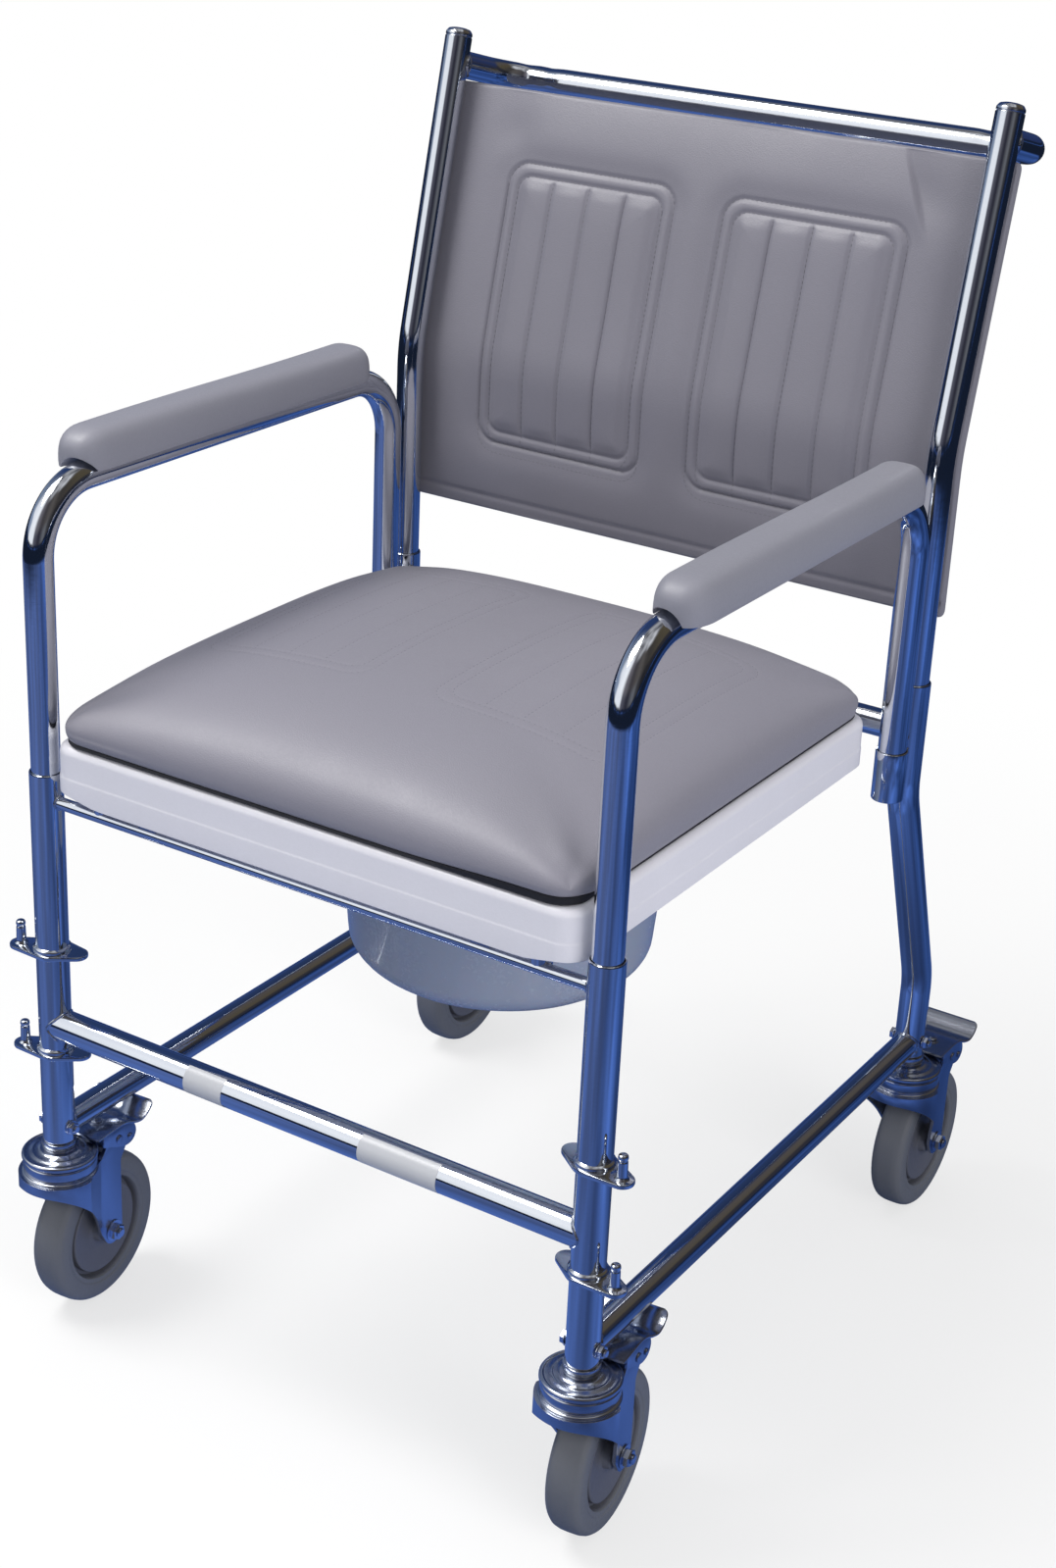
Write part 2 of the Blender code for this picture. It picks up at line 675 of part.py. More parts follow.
def quilted(across_lines, along_lines, front_point, side_loops, back_strips):
    """A padded body: a gridded front, loops round its edge, and a back of flat strips.

    front_point gives the place of a grid point, side_loops are functions that give an edge
    point its place on each further loop, and back_strips says whether the last loop is
    closed strip by strip, which a curved back needs, or by one flat face.
    """
    work = bmesh.new()
    columns = len(across_lines)
    rows = len(along_lines)
    grid = [[work.verts.new(front_point(across, along)) for across in across_lines] for along in along_lines]
    for row in range(rows - 1):
        for column in range(columns - 1):
            work.faces.new([grid[row][column], grid[row][column + 1],
                            grid[row + 1][column + 1], grid[row + 1][column]])
    places = [(0, column) for column in range(columns)]
    places += [(row, columns - 1) for row in range(1, rows)]
    places += [(rows - 1, column) for column in range(columns - 2, -1, -1)]
    places += [(row, 0) for row in range(rows - 2, 0, -1)]
    edge = [grid[row][column] for row, column in places]
    for move in side_loops:
        loop = [work.verts.new(move(across_lines[column], along_lines[row])) for row, column in places]
        bridge(work, edge, loop)
        edge = loop
    if not back_strips:
        work.faces.new(edge)
        return to_mesh(work)
    right = edge[columns - 1:columns + rows - 1]
    left = [edge[0]] + edge[:-(rows - 1):-1] + [edge[2 * columns + rows - 3]]
    bottom = edge[:columns]
    top = edge[columns + rows - 2:2 * columns + rows - 2]
    work.faces.new(bottom + [right[1], left[1]])
    for row in range(1, rows - 2):
        work.faces.new([left[row], right[row], right[row + 1], left[row + 1]])
    work.faces.new(top + [left[rows - 2], right[rows - 2]])
    return to_mesh(work)


def rib_lines(low, high, border, ribs):
    """Grid lines of one sewn field: its border seams, and the seam and crest of each rib."""
    lines = [low - STITCH_RAMP, low, low + border / 2]
    pitch = (high - low - 2 * border) / ribs
    for rib in range(ribs):
        lines += [low + border + pitch * rib, low + border + pitch * (rib + 0.5)]
    lines += [high - border, high - border / 2, high, high + STITCH_RAMP]
    return lines


def field_depth(across, along):
    """How deep the back panel's face lies at a grid point of a sewn field, negative when proud."""
    x = abs(across)
    near = 1e-6
    if not (FIELD_INNER_X - near < x < FIELD_OUTER_X + near and FIELD_LOW - near < along < FIELD_HIGH + near):
        return 0.0
    inset = min(x - FIELD_INNER_X, FIELD_OUTER_X - x, along - FIELD_LOW, FIELD_HIGH - along)
    if inset < near or abs(inset - FIELD_BORDER) < near:
        return STITCH_DEPTH
    if inset < FIELD_BORDER:
        return -RIB_RISE / 2
    pitch = (FIELD_OUTER_X - FIELD_INNER_X - 2 * FIELD_BORDER) / FIELD_RIBS
    phase = (x - FIELD_INNER_X - FIELD_BORDER) / pitch
    seam = abs(phase - round(phase)) * pitch < near
    return STITCH_DEPTH * 0.8 if seam else -RIB_RISE


def field_round(across, along, inner, outer, low, high, radius):
    """Draws the corner points of a sewn field inwards, so that its outline is round there."""
    middle_x = (inner + outer) / 2 * (1 if across > 0 else -1)
    middle_y = (low + high) / 2
    half_x = (outer - inner) / 2
    half_y = (high - low) / 2
    if abs(across - middle_x) > half_x + 1e-6 or abs(along - middle_y) > half_y + 1e-6:
        return across, along
    x, y = corner_pull(across - middle_x, along - middle_y, half_x, half_y, radius)
    return x + middle_x, y + middle_y


def panel_mesh():
    """Back panel: sewn face, thin sides behind the uprights, and a flat raked back."""
    field = rib_lines(FIELD_INNER_X, FIELD_OUTER_X, FIELD_BORDER, FIELD_RIBS)
    edge_x = PANEL_HALF_WIDTH - PANEL_EDGE_ROUND
    shoulder_x = (PANEL_CROWN_HALF_WIDTH + FIELD_OUTER_X) / 2
    outer = [shoulder_x, PANEL_CROWN_HALF_WIDTH, edge_x]
    right = field + outer
    across_lines = [-x for x in reversed(right)] + [0.0] + right
    low = PANEL_LOW + PANEL_EDGE_ROUND
    high = PANEL_HIGH - PANEL_EDGE_ROUND
    bend = BACK_BEND_Z
    along_lines = [low, PANEL_LOW + HEM, PANEL_LOW + HEM + STITCH_RAMP,
                   FIELD_LOW - STITCH_RAMP, FIELD_LOW, FIELD_LOW + FIELD_BORDER / 2, FIELD_LOW + FIELD_BORDER,
                   FIELD_LOW + FIELD_BORDER + STITCH_RAMP, bend - BACK_BEND_R * BACK_RAKE / 2,
                   bend, bend + BACK_BEND_R * BACK_RAKE / 2,
                   FIELD_HIGH - FIELD_BORDER - STITCH_RAMP, FIELD_HIGH - FIELD_BORDER,
                   FIELD_HIGH - FIELD_BORDER / 2, FIELD_HIGH, FIELD_HIGH + STITCH_RAMP,
                   (FIELD_HIGH + high) / 2, high]
    face = SMALL_TUBE_R + PANEL_CLEARANCE
    middle = (PANEL_LOW + PANEL_HIGH) / 2
    half = (high - low) / 2

    def front_point(across, along):
        depth = field_depth(across, along)
        if abs(along - PANEL_LOW - HEM) < 1e-6:
            depth = STITCH_DEPTH / 2
        share_x = min(abs(across) / PANEL_CROWN_HALF_WIDTH, 1.0)
        share_z = min(abs(along - middle) / half, 1.0)
        crown = PANEL_CROWN * (1 - share_x ** 4) * (1 - share_z ** 6)
        x, length = field_round(across, along, FIELD_INNER_X, FIELD_OUTER_X, FIELD_LOW, FIELD_HIGH,
                                FIELD_CORNER_R)
        return upright_frame(length) @ Vector((x, face - crown + depth, 0))

    def edge_loop(outward, depth):
        def place(across, along):
            x = across + outward * (1 if across > 0 else -1) if abs(abs(across) - edge_x) < 1e-6 else across
            length = along
            if abs(along - low) < 1e-6:
                length = along - outward
            if abs(along - high) < 1e-6:
                length = along + outward
            return upright_frame(length) @ Vector((x, face + depth, 0))
        return place

    loops = [edge_loop(PANEL_EDGE_ROUND, PANEL_THICKNESS * 0.4), edge_loop(0.0, PANEL_THICKNESS)]
    return quilted(across_lines, along_lines, front_point, loops, True)


def make_back(chair):
    back = empty("back_frame_joint", chair)
    upright = upright_mesh()
    for side, word in ((-1, "left"), (1, "right")):
        node(f"back_upright_{word}", upright, "chrome", back, (side * LEG_HALF_SPACING, 0, 0))
    node("push_handle", handle_mesh(), "chrome", back)
    node("back_panel", panel_mesh(), "vinyl", back)


# Seat

def cushion_bottom():
    return SEAT_TOP_Z + SEAT_GAP + BOARD_THICKNESS + SEAT_GAP


def cushion_mesh():
    """Seat cushion: a domed pillow with two faint sewn fields, a rolled edge and a welt."""
    middle_y = (CUSHION_FRONT_Y + CUSHION_REAR_Y) / 2
    half_x = CUSHION_HALF_WIDTH - CUSHION_ROLL
    half_y = (CUSHION_REAR_Y - CUSHION_FRONT_Y) / 2 - CUSHION_ROLL
    corner = CUSHION_CORNER_R - CUSHION_ROLL
    bottom = cushion_bottom()
    field_x = (SEAT_FIELD_INNER_X, SEAT_FIELD_OUTER_X)
    field_y = (SEAT_FIELD_FRONT_Y - middle_y, SEAT_FIELD_REAR_Y - middle_y)

    def lines(fields, half, extra):
        shares = (1.0, 0.985, 0.955, 0.905)
        values = [0.0] + [half * share for share in shares] + [-half * share for share in shares]
        for value in fields:
            values += [value - STITCH_RAMP, value, value + STITCH_RAMP]
        return sorted(values + extra)

    both_x = field_x + tuple(-x for x in field_x)
    between = (field_x[0] + field_x[1]) / 2
    across_lines = lines(both_x, half_x, [between, -between])
    along_lines = lines(field_y, half_y, [0.8 * half_y, -0.8 * half_y])

    def on_seam(across, along):
        x = abs(across)
        inset = min(x - field_x[0], field_x[1] - x, along - field_y[0], field_y[1] - along)
        return abs(inset) < 1e-6

    def front_point(across, along):
        share_x = abs(across) / half_x
        share_y = abs(along) / half_y
        rise = CUSHION_CROWN * ((1 - share_x ** 2.6) * (1 - share_y ** 2.6)) ** 0.34
        if on_seam(across, along):
            rise -= SEAT_STITCH_DEPTH
        x, y = corner_pull(across, along, half_x, half_y, corner)
        x, y = field_round(x, y, *field_x, *field_y, FIELD_CORNER_R)
        return Vector((x, y + middle_y, bottom + CUSHION_EDGE_HEIGHT + rise))

    def edge_loop(outward, height):
        def place(across, along):
            wide_x = across * (half_x + outward) / half_x
            wide_y = along * (half_y + outward) / half_y
            x, y = corner_pull(wide_x, wide_y, half_x + outward, half_y + outward, corner + outward)
            return Vector((x, y + middle_y, bottom + height))
        return place

    edge = CUSHION_EDGE_HEIGHT
    rings = ((0.55, edge - 0.0022), (0.90, edge - 0.006), (1.0, edge - 0.0105), (0.86, 1.5 * CUSHION_WELT),
             (1.0, CUSHION_WELT), (0.90, 0.0))
    loops = [edge_loop(CUSHION_ROLL * share, height) for share, height in rings]
    return quilted(across_lines, along_lines, front_point, loops, False)


def board_mesh():
    outline = rounded_outline(CUSHION_HALF_WIDTH - BOARD_INSET, CUSHION_FRONT_Y + BOARD_INSET,
                              CUSHION_REAR_Y - BOARD_INSET, CUSHION_CORNER_R - BOARD_INSET, 6, 2)
    low = SEAT_TOP_Z + SEAT_GAP
    return prism(outline, low, low + BOARD_THICKNESS)


def commode_seat_mesh():
    """Moulded seat: skirt with a step line, round top edge, oval opening with a lip, open below."""
    middle_y = (SEAT_FRONT_Y + SEAT_REAR_Y) / 2

    def outline(inset, height):
        points = rounded_outline(SEAT_HALF_WIDTH - inset, SEAT_FRONT_Y + inset, SEAT_REAR_Y - inset,
                                 SEAT_CORNER_R - inset, 5, 3)
        return [Vector((x, y, height)) for x, y in points]

    def oval(outward, height):
        points = []
        half_x = APERTURE_HALF_X + outward
        half_y = APERTURE_HALF_Y + outward
        for point in outline(0, height):
            angle = atan2((point.y - middle_y) / half_y, point.x / half_x)
            points.append(Vector((half_x * cos(angle), PAN_Y + half_y * sin(angle), height)))
        return points

    under = SEAT_TOP_Z - SEAT_WALL
    step = 0.001
    loops = [outline(0, SEAT_SKIRT_Z), outline(0, SEAT_STEP_Z), outline(step, SEAT_STEP_Z + step),
             outline(step, SEAT_TOP_Z - 0.005), outline(0.0025, SEAT_TOP_Z - 0.0015),
             outline(0.006, SEAT_TOP_Z), oval(0.003, SEAT_TOP_Z), oval(0, SEAT_TOP_Z - 0.003),
             oval(0, SEAT_TOP_Z - APERTURE_LIP),
             oval(SEAT_WALL, SEAT_TOP_Z - APERTURE_LIP), oval(SEAT_WALL, under),
             outline(SEAT_WALL + step, under), outline(SEAT_WALL, SEAT_SKIRT_Z)]
    seat = skin(loops, closed=True)
    half = SEAT_RAIL_R + NOTCH_GAP
    for side in (-1, 1):
        x = side * SEAT_RAIL_X
        beyond = 0.01
        slot = prism([(x - half, SEAT_SKIRT_Z - beyond), (x + half, SEAT_SKIRT_Z - beyond),
                      (x + half, SEAT_RAIL_Z + half), (x - half, SEAT_RAIL_Z + half)],
                     SEAT_REAR_Y - SEAT_CORNER_R, SEAT_REAR_Y + beyond, FRONT_VIEW)
        seat = cut(seat, slot)
    return seat


def make_seat(chair):
    node("commode_seat", commode_seat_mesh(), "seat_plastic", chair)
    cushion = empty("cushion_joint", chair)
    node("cushion_board", board_mesh(), "board_black", cushion)
    node("seat_cushion", cushion_mesh(), "vinyl", cushion)


# Pan

def pan_mesh():
    rim_low = PAN_RIM_Z - PAN_WALL

    def bowl(inset):
        """Profile of the rounded bottom, from the middle out to the foot of the side."""
        points = [(0, PAN_BOTTOM_Z + inset)]
        for degrees in (90, 65, 45, 22.5, 0):
            reach = (PAN_BELLY_R - PAN_FOOT_R - inset) * cos(radians(degrees))
            drop = (PAN_KNEE_Z - PAN_BOTTOM_Z - inset) * sin(radians(degrees))
            points.append((PAN_FOOT_R + reach, PAN_KNEE_Z - drop))
        return points

    rim = [(PAN_MOUTH_R, rim_low), (PAN_RIM_R, rim_low), (PAN_RIM_R, PAN_RIM_Z),
           (PAN_MOUTH_R - PAN_WALL, PAN_RIM_Z)]
    return turned(bowl(0) + rim + bowl(PAN_WALL)[::-1], PAN_SIDES)


def make_pan(chair):
    """The pan, and the two angle runners that its rim slides on."""
    pan = empty("pan_joint", chair, (0, PAN_Y, 0))
    node("pan", pan_mesh(), "pan_plastic", pan)
    web_x = PAN_RIM_R + RUNNER_GAP + RUNNER_WALL
    low = RUNNER_Z
    flange_top = low + RUNNER_WALL
    high = SEAT_SKIRT_Z - SEAT_GAP
    hanger_y = (SEAT_REAR_Y + RUNNER_HANGER_GAP, BACK_Y + RUNNER_OVERHANG)
    crossbar = cross_solid(BACK_Y, CROSSBAR_Z, SMALL_TUBE_R)
    for side, word in ((-1, "left"), (1, "right")):
        inner_x = web_x - RUNNER_WALL
        flange_x = web_x - RUNNER_FLANGE
        section = [(web_x, low), (web_x, high), (inner_x, high), (inner_x, flange_top),
                   (flange_x, flange_top), (flange_x, low)]
        outline = [(side * x, z) for x, z in section]
        runner = prism(outline, -RUNNER_OVERHANG, BACK_Y + RUNNER_OVERHANG, FRONT_VIEW)
        plate = ((web_x, low), (web_x, CROSSBAR_Z), (inner_x, CROSSBAR_Z), (inner_x, low))
        hanger = prism([(side * x, z) for x, z in plate], *hanger_y, FRONT_VIEW)
        node(f"pan_runner_{word}", cut(join(runner, hanger), crossbar.copy()), "zinc", chair)


# Casters, each in a frame on its swivel axis with the floor at Z = 0 and the wheel trailing to +Y

def stem_mesh():
    """Fixed part of a caster: kingpin, dished cap, collar and the plug that fills the leg's foot."""
    cap_low = RACE_TOP_Z + CAP_GAP
    collar_top = LEG_FOOT_Z - SEAT_GAP
    collar_low = collar_top - STEM_COLLAR_HEIGHT
    plug_r = LEG_R - LEG_WALL - SEAT_GAP
    plate_low = HOOD_TOP_Z - HOOD_WALL
    rivet_top = plate_low - CAP_GAP
    profile = [(RIVET_R, rivet_top - RIVET_HEIGHT), (RIVET_R, rivet_top), (KINGPIN_R, rivet_top),
               (KINGPIN_R, cap_low), (CAP_R, cap_low), (CAP_R, cap_low + CAP_RIM),
               (STEM_NECK_R, cap_low + CAP_RISE), (STEM_NECK_R, collar_low), (STEM_COLLAR_R, collar_low),
               (STEM_COLLAR_R, collar_top), (plug_r, collar_top), (plug_r, STEM_PLUG_TOP_Z)]
    return cut(turned(profile, STEM_SIDES), bolt_hole(False))


def bolt_mesh(radius, head, head_radius, nut_stop, tip):
    """A bolt along X with a hexagon head at one end and a hexagon nut at the other."""
    end = nut_stop + head
    profile = [(head_radius * 0.85, -end), (head_radius, -end + head * 0.2), (head_radius, -nut_stop),
               (radius, -nut_stop), (radius, nut_stop), (head_radius, nut_stop), (head_radius, end),
               (radius, end), (radius, end + tip)]
    return turned(profile, 6, ALONG_X)


def hood_plan(inset, rear):
    """Plan of the fork: a round front that narrows to two parallel legs."""
    radius = HOOD_R - inset
    half = FORK_HALF_WIDTH - inset
    points = [(-half, rear), (-half, FORK_NECK_Y)]
    points += arc(0, 0, radius, 180, 360, 8)
    points += [(half, FORK_NECK_Y), (half, rear)]
    return points


def fork_side():
    """Side view of the fork as pairs of Y and Z: hood lip, sloping front edge, axle lobe, ear."""
    lobe = arc(CASTER_TRAIL, WHEEL_R, AXLE_LOBE_R, 215, 360, 4)
    lip_y = -HOOD_R - 0.002
    start = (lip_y + 0.010, HOOD_TOP_Z - 0.017)
    end = (CASTER_TRAIL - 0.016, WHEEL_R + 0.002)
    front = [(lip_y, HOOD_TOP_Z), (lip_y, HOOD_TOP_Z - 0.005), (lip_y + 0.004, HOOD_TOP_Z - 0.009), start]
    for share_y, share_z in ((0.31, 0.26), (0.60, 0.52), (0.83, 0.76), (1.0, 1.0)):
        front.append((start[0] + (end[0] - start[0]) * share_y, start[1] + (end[1] - start[1]) * share_z))
    rear_edge = CASTER_TRAIL + AXLE_LOBE_R
    ear_end = FORK_REAR_Y - 0.002
    ear = [(rear_edge, HOOD_TOP_Z - 0.012), (ear_end, HOOD_TOP_Z - 0.002), (ear_end, EAR_TOP_Z - 0.005),
           (ear_end - 0.005, EAR_TOP_Z), (EAR_FRONT_Y + 0.006, EAR_TOP_Z), (EAR_FRONT_Y, HOOD_TOP_Z + 0.004),
           (EAR_FRONT_Y - 0.004, HOOD_TOP_Z)]
    return front + lobe + ear


def fork_mesh():
    """Pressed fork: hood, two legs, brake ears, and the lower ball race on top."""
    beyond = 0.01
    body = prism(hood_plan(0, FORK_REAR_Y), AXLE_LOBE_R, EAR_TOP_Z + beyond)
    body = combine(body, prism(fork_side(), -HOOD_R - beyond, HOOD_R + beyond, SIDE_VIEW), 'INTERSECT')
    hollow = prism(hood_plan(HOOD_WALL, FORK_REAR_Y + beyond), 0, HOOD_TOP_Z - HOOD_WALL)
    half = FORK_HALF_WIDTH - HOOD_WALL
    bay = prism([(-half, EAR_FRONT_Y), (half, EAR_FRONT_Y), (half, FORK_REAR_Y + beyond),
                 (-half, FORK_REAR_Y + beyond)], HOOD_TOP_Z - HOOD_WALL - beyond, EAR_TOP_Z + 2 * beyond)
    body = cut(body, hollow, bay)
    sunk = HOOD_TOP_Z - HOOD_WALL / 2
    race = turned([(RACE_R, sunk), (RACE_R, HOOD_TOP_Z + 0.0018), (RACE_R - 0.0014, HOOD_TOP_Z + 0.0030),
                   (RACE_R, HOOD_TOP_Z + 0.0042), (RACE_R, RACE_TOP_Z)], RACE_SIDES)
    hole = turned([(KINGPIN_R + PIN_GAP, HOOD_TOP_Z - beyond), (KINGPIN_R + PIN_GAP, RACE_TOP_Z + beyond)],
                  STEM_SIDES)
    axle = turned([(AXLE_R + PIN_GAP, -HOOD_R), (AXLE_R + PIN_GAP, HOOD_R)], ROD_SIDES,
                  Matrix.Translation((0, CASTER_TRAIL, WHEEL_R)) @ ALONG_X)
    pivot = turned([(PEDAL_PIN_R + PIN_GAP, -HOOD_R), (PEDAL_PIN_R + PIN_GAP, HOOD_R)], ROD_SIDES,
                   Matrix.Translation((0, PEDAL_PIVOT_Y, PEDAL_PIVOT_Z)) @ ALONG_X)
    return cut(join(body, race), hole, axle, pivot)


def tyre_mesh():
    """Tyre about its axle: nearly flat tread, round shoulders, side walls."""
    half = WHEEL_WIDTH / 2
    bore = HUB_R + SEAT_GAP * 2
    right = [(WHEEL_R, half * 0.55), (WHEEL_R - TYRE_SHOULDER, half), (bore, half - 0.0008)]
    left = [(radius, -along) for radius, along in reversed(right)]
    return turned(right + left, WHEEL_SIDES, ALONG_X, closed=True)


def hub_mesh():
    """Hub about its axle: boss, recessed web and rim, with a bore for the bolt."""
    half = HUB_WIDTH / 2
    bore = AXLE_R + PIN_GAP
    rim = WHEEL_WIDTH / 2 - 0.002
    web = half - HUB_RECESS
    right = [(bore, half), (HUB_BOSS_R, half), (HUB_BOSS_R + 0.001, web), (HUB_R - HUB_RECESS, web),
             (HUB_R, rim)]
    left = [(radius, -along) for radius, along in reversed(right)]
    return turned(right + left, HUB_SIDES, ALONG_X, closed=True)


def pedal_mesh():
    """Brake pedal about its pivot: channel with cheeks, step with a raised lip, shoe and pin."""
    top = PEDAL_TOP_Z
    wide = PEDAL_STEP_HALF_WIDTH
    pivot_y = PEDAL_PIVOT_Y
    pivot_z = PEDAL_PIVOT_Z
    plate = [(PEDAL_FRONT_Y, top, PEDAL_HALF_WIDTH), (pivot_y + 0.008, top, PEDAL_HALF_WIDTH),
             (pivot_y + 0.016, top - 0.0012, PEDAL_HALF_WIDTH), (PEDAL_STEP_Y - 0.019, top - 0.0014, wide),
             (PEDAL_STEP_Y - 0.012, top - 0.0002, wide), (PEDAL_STEP_Y - 0.006, PEDAL_STEP_Z - 0.0015, wide),
             (PEDAL_STEP_Y, PEDAL_STEP_Z, wide - 0.001)]
    loops = []
    half = PEDAL_SHEET / 2
    for index, (y, z, width) in enumerate(plate):
        before = plate[max(index - 1, 0)]
        after = plate[min(index + 1, len(plate) - 1)]
        slope = atan2(after[1] - before[1], after[0] - before[0])
        up = Vector((0, -sin(slope), cos(slope))) * half
        middle = Vector((0, y, z))
        side = Vector((width, 0, 0))
        loops.append([middle - side + up, middle + side + up, middle + side - up, middle - side - up])
    body = skin(loops)
    cheek_in = FORK_HALF_WIDTH + CHEEK_GAP
    cheek_out = PEDAL_HALF_WIDTH - 0.0004
    cheek = [(CHEEK_FRONT_Y, top), (pivot_y + 0.014, top - 0.0006), (pivot_y + 0.020, pivot_z + 0.0055),
             (pivot_y + 0.0225, pivot_z - 0.003), (pivot_y + 0.018, pivot_z - 0.0095),
             (pivot_y + 0.009, pivot_z - 0.0105), (pivot_y - 0.002, pivot_z - 0.0065),
             (pivot_y - 0.010, pivot_z - 0.0025), (CHEEK_FRONT_Y, pivot_z + 0.0015)]
    for low, high in ((cheek_in, cheek_out), (-cheek_out, -cheek_in)):
        body = join(body, prism(cheek, low, high, SIDE_VIEW))
    shoe_half = FORK_HALF_WIDTH - HOOD_WALL - 0.0015
    shoe_low = 2 * WHEEL_R + SHOE_GAP
    shoe = [(pivot_y - 0.0035, top), (pivot_y + 0.012, top - 0.0006), (pivot_y + 0.012, shoe_low),
            (pivot_y + 0.004, shoe_low + 0.0006), (pivot_y - 0.0035, shoe_low + 0.0084)]
    pin = turned([(PEDAL_PIN_R, -cheek_out - 0.001), (PEDAL_PIN_R, cheek_out + 0.001)], ROD_SIDES,
                 Matrix.Translation((0, pivot_y, pivot_z)) @ ALONG_X)
    body = join(body, prism(shoe, -shoe_half, shoe_half, SIDE_VIEW), pin)
    return moved(body, Matrix.Translation((0, -pivot_y, -pivot_z)))


def make_casters(chair):
    stem = stem_mesh()
    stem_bolt = bolt_mesh(BOLT_R, BOLT_HEAD, BOLT_HEAD_R, LEG_R + SEAT_GAP, BOLT_TIP)
    nut_stop = FORK_HALF_WIDTH + SEAT_GAP
    axle_bolt = bolt_mesh(AXLE_R, AXLE_HEAD, AXLE_HEAD_R, nut_stop, AXLE_REACH - nut_stop - AXLE_HEAD)
    fork, tyre, hub, pedal = fork_mesh(), tyre_mesh(), hub_mesh(), pedal_mesh()
    for place, yaw in CASTER_YAW_DEG.items():
        x = LEG_HALF_SPACING if place.endswith("right") else -LEG_HALF_SPACING
        y = leg_y(place.startswith("rear"))
        node(f"caster_stem_{place}", stem, "zinc", chair, (x, y, 0))
        node(f"stem_bolt_{place}", stem_bolt, "zinc", chair, (x, y, BOLT_Z))
        swivel = empty(f"swivel_{place}_joint", chair, (x, y, 0), radians(yaw))
        node(f"fork_{place}", fork, "zinc", swivel)
        node(f"axle_bolt_{place}", axle_bolt, "zinc", swivel, (0, CASTER_TRAIL, WHEEL_R))
        wheel = empty(f"wheel_{place}_joint", swivel, (0, CASTER_TRAIL, WHEEL_R))
        node(f"tyre_{place}", tyre, "tyre_rubber", wheel)
        node(f"hub_{place}", hub, "hub_plastic", wheel)
        pedal_joint = empty(f"pedal_{place}_joint", swivel, (0, PEDAL_PIVOT_Y, PEDAL_PIVOT_Z))
        node(f"brake_pedal_{place}", pedal, "zinc", pedal_joint)


def main():
    clear_scene()
    chair = empty("chair", None, (0, -MIDDLE_Y, 0))
    make_legs(chair)
    make_bars(chair)
    make_seat_rails(chair)
    make_arm_sockets(chair)
    make_footrest_brackets(chair)
    make_arms(chair)
    make_back(chair)
    make_seat(chair)
    make_pan(chair)
    make_casters(chair)
    bpy.context.view_layer.update()


main()
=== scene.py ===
"""Wheeled commode chair: its visible pieces, finishes and stage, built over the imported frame.

Run as a script in Blender 4.5. Everything is in metres, +Z up, and the sitter looks along -Y.
Pieces are shaped in chair coordinates, whose Y starts at the front legs, and then moved back by
the distance from there to the frame's origin.
"""

from math import acos, atan2, cos, degrees, exp, hypot, pi, radians, sin, tan

import bmesh
import bpy
from bpy.props import FloatProperty, FloatVectorProperty, IntProperty, PointerProperty
from mathutils import Matrix, Vector, noise


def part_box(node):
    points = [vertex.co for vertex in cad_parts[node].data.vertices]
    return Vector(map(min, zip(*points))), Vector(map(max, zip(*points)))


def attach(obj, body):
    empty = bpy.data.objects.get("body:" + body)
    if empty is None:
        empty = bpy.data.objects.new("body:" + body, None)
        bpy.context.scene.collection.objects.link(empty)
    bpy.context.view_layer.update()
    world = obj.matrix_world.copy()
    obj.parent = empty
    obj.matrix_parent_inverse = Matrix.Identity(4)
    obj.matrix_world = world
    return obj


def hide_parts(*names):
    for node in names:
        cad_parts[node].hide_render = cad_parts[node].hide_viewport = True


bl_info = {
    "name": "Wheeled commode chair",
    "version": (1, 0, 0),
    "blender": (4, 5, 0),
    "location": "3D View > Sidebar > Commode Chair",
    "description": "Builds the tubes, casters, moulded and padded pieces of a wheeled commode chair",
    "category": "Object",
}

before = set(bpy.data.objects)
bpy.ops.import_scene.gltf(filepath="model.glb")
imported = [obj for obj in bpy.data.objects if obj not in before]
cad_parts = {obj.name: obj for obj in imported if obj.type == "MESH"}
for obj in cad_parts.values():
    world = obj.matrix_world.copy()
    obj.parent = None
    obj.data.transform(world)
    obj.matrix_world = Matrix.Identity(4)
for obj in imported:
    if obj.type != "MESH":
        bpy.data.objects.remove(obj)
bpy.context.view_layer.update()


def box_middle(node):
    low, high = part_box(node)
    return (low + high) / 2


# Chair coordinates have X = 0 midway between the legs, Y = 0 at the front legs and Z = 0 on the floor
FRONT_Y = box_middle("front_leg_right").y


def chair_box(node):
    """A node's lowest and highest corners in chair coordinates."""
    shift = Vector((0, FRONT_Y, 0))
    low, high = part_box(node)
    return low - shift, high - shift


SIDES = ((-1, "left"), (1, "right"))
# Measures of the CAD model, each as a place in chair coordinates, a length, a radius or an angle
LEG_X = box_middle("front_leg_right").x
LEG_FOOT_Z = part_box("front_leg_right")[0].z
FRONT_LEG_TOP_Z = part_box("front_leg_right")[1].z
REAR_LEG_TOP_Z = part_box("rear_leg_right")[1].z
WHEELBASE = 0.534
BOTTOM_RAIL_Z = box_middle("bottom_rail_right").z
LOWER_BAR_Z = box_middle("lower_front_bar").z
FRONT_RAIL_Z = box_middle("upper_front_rail").z
SEAT_RAIL_X = box_middle("seat_rail_right").x
BACK_Y = 0.457
CROSSBAR_Z = box_middle("rear_crossbar").z
PAN_Y = box_middle("pan").y - FRONT_Y
LOWER_BAR_THINNER = 0.0003
ARM_REAR_Y = 0.4265
ARM_Z = 0.697
BACK_BEND_Z = 0.712
BACK_BEND_R = 0.150
BACK_RAKE = radians(13)
UPRIGHT_LENGTH = 0.9735
HANDLE_LENGTH = 0.9456
PANEL_LOW = 0.582
PANEL_HIGH = 0.9335
# Degrees that each caster is turned about its leg, counted anticlockwise from above
CASTER_TURNS = {"front_right": 5.6, "front_left": 3.9, "rear_right": 0.0, "rear_left": 0.0}


# What a user may change

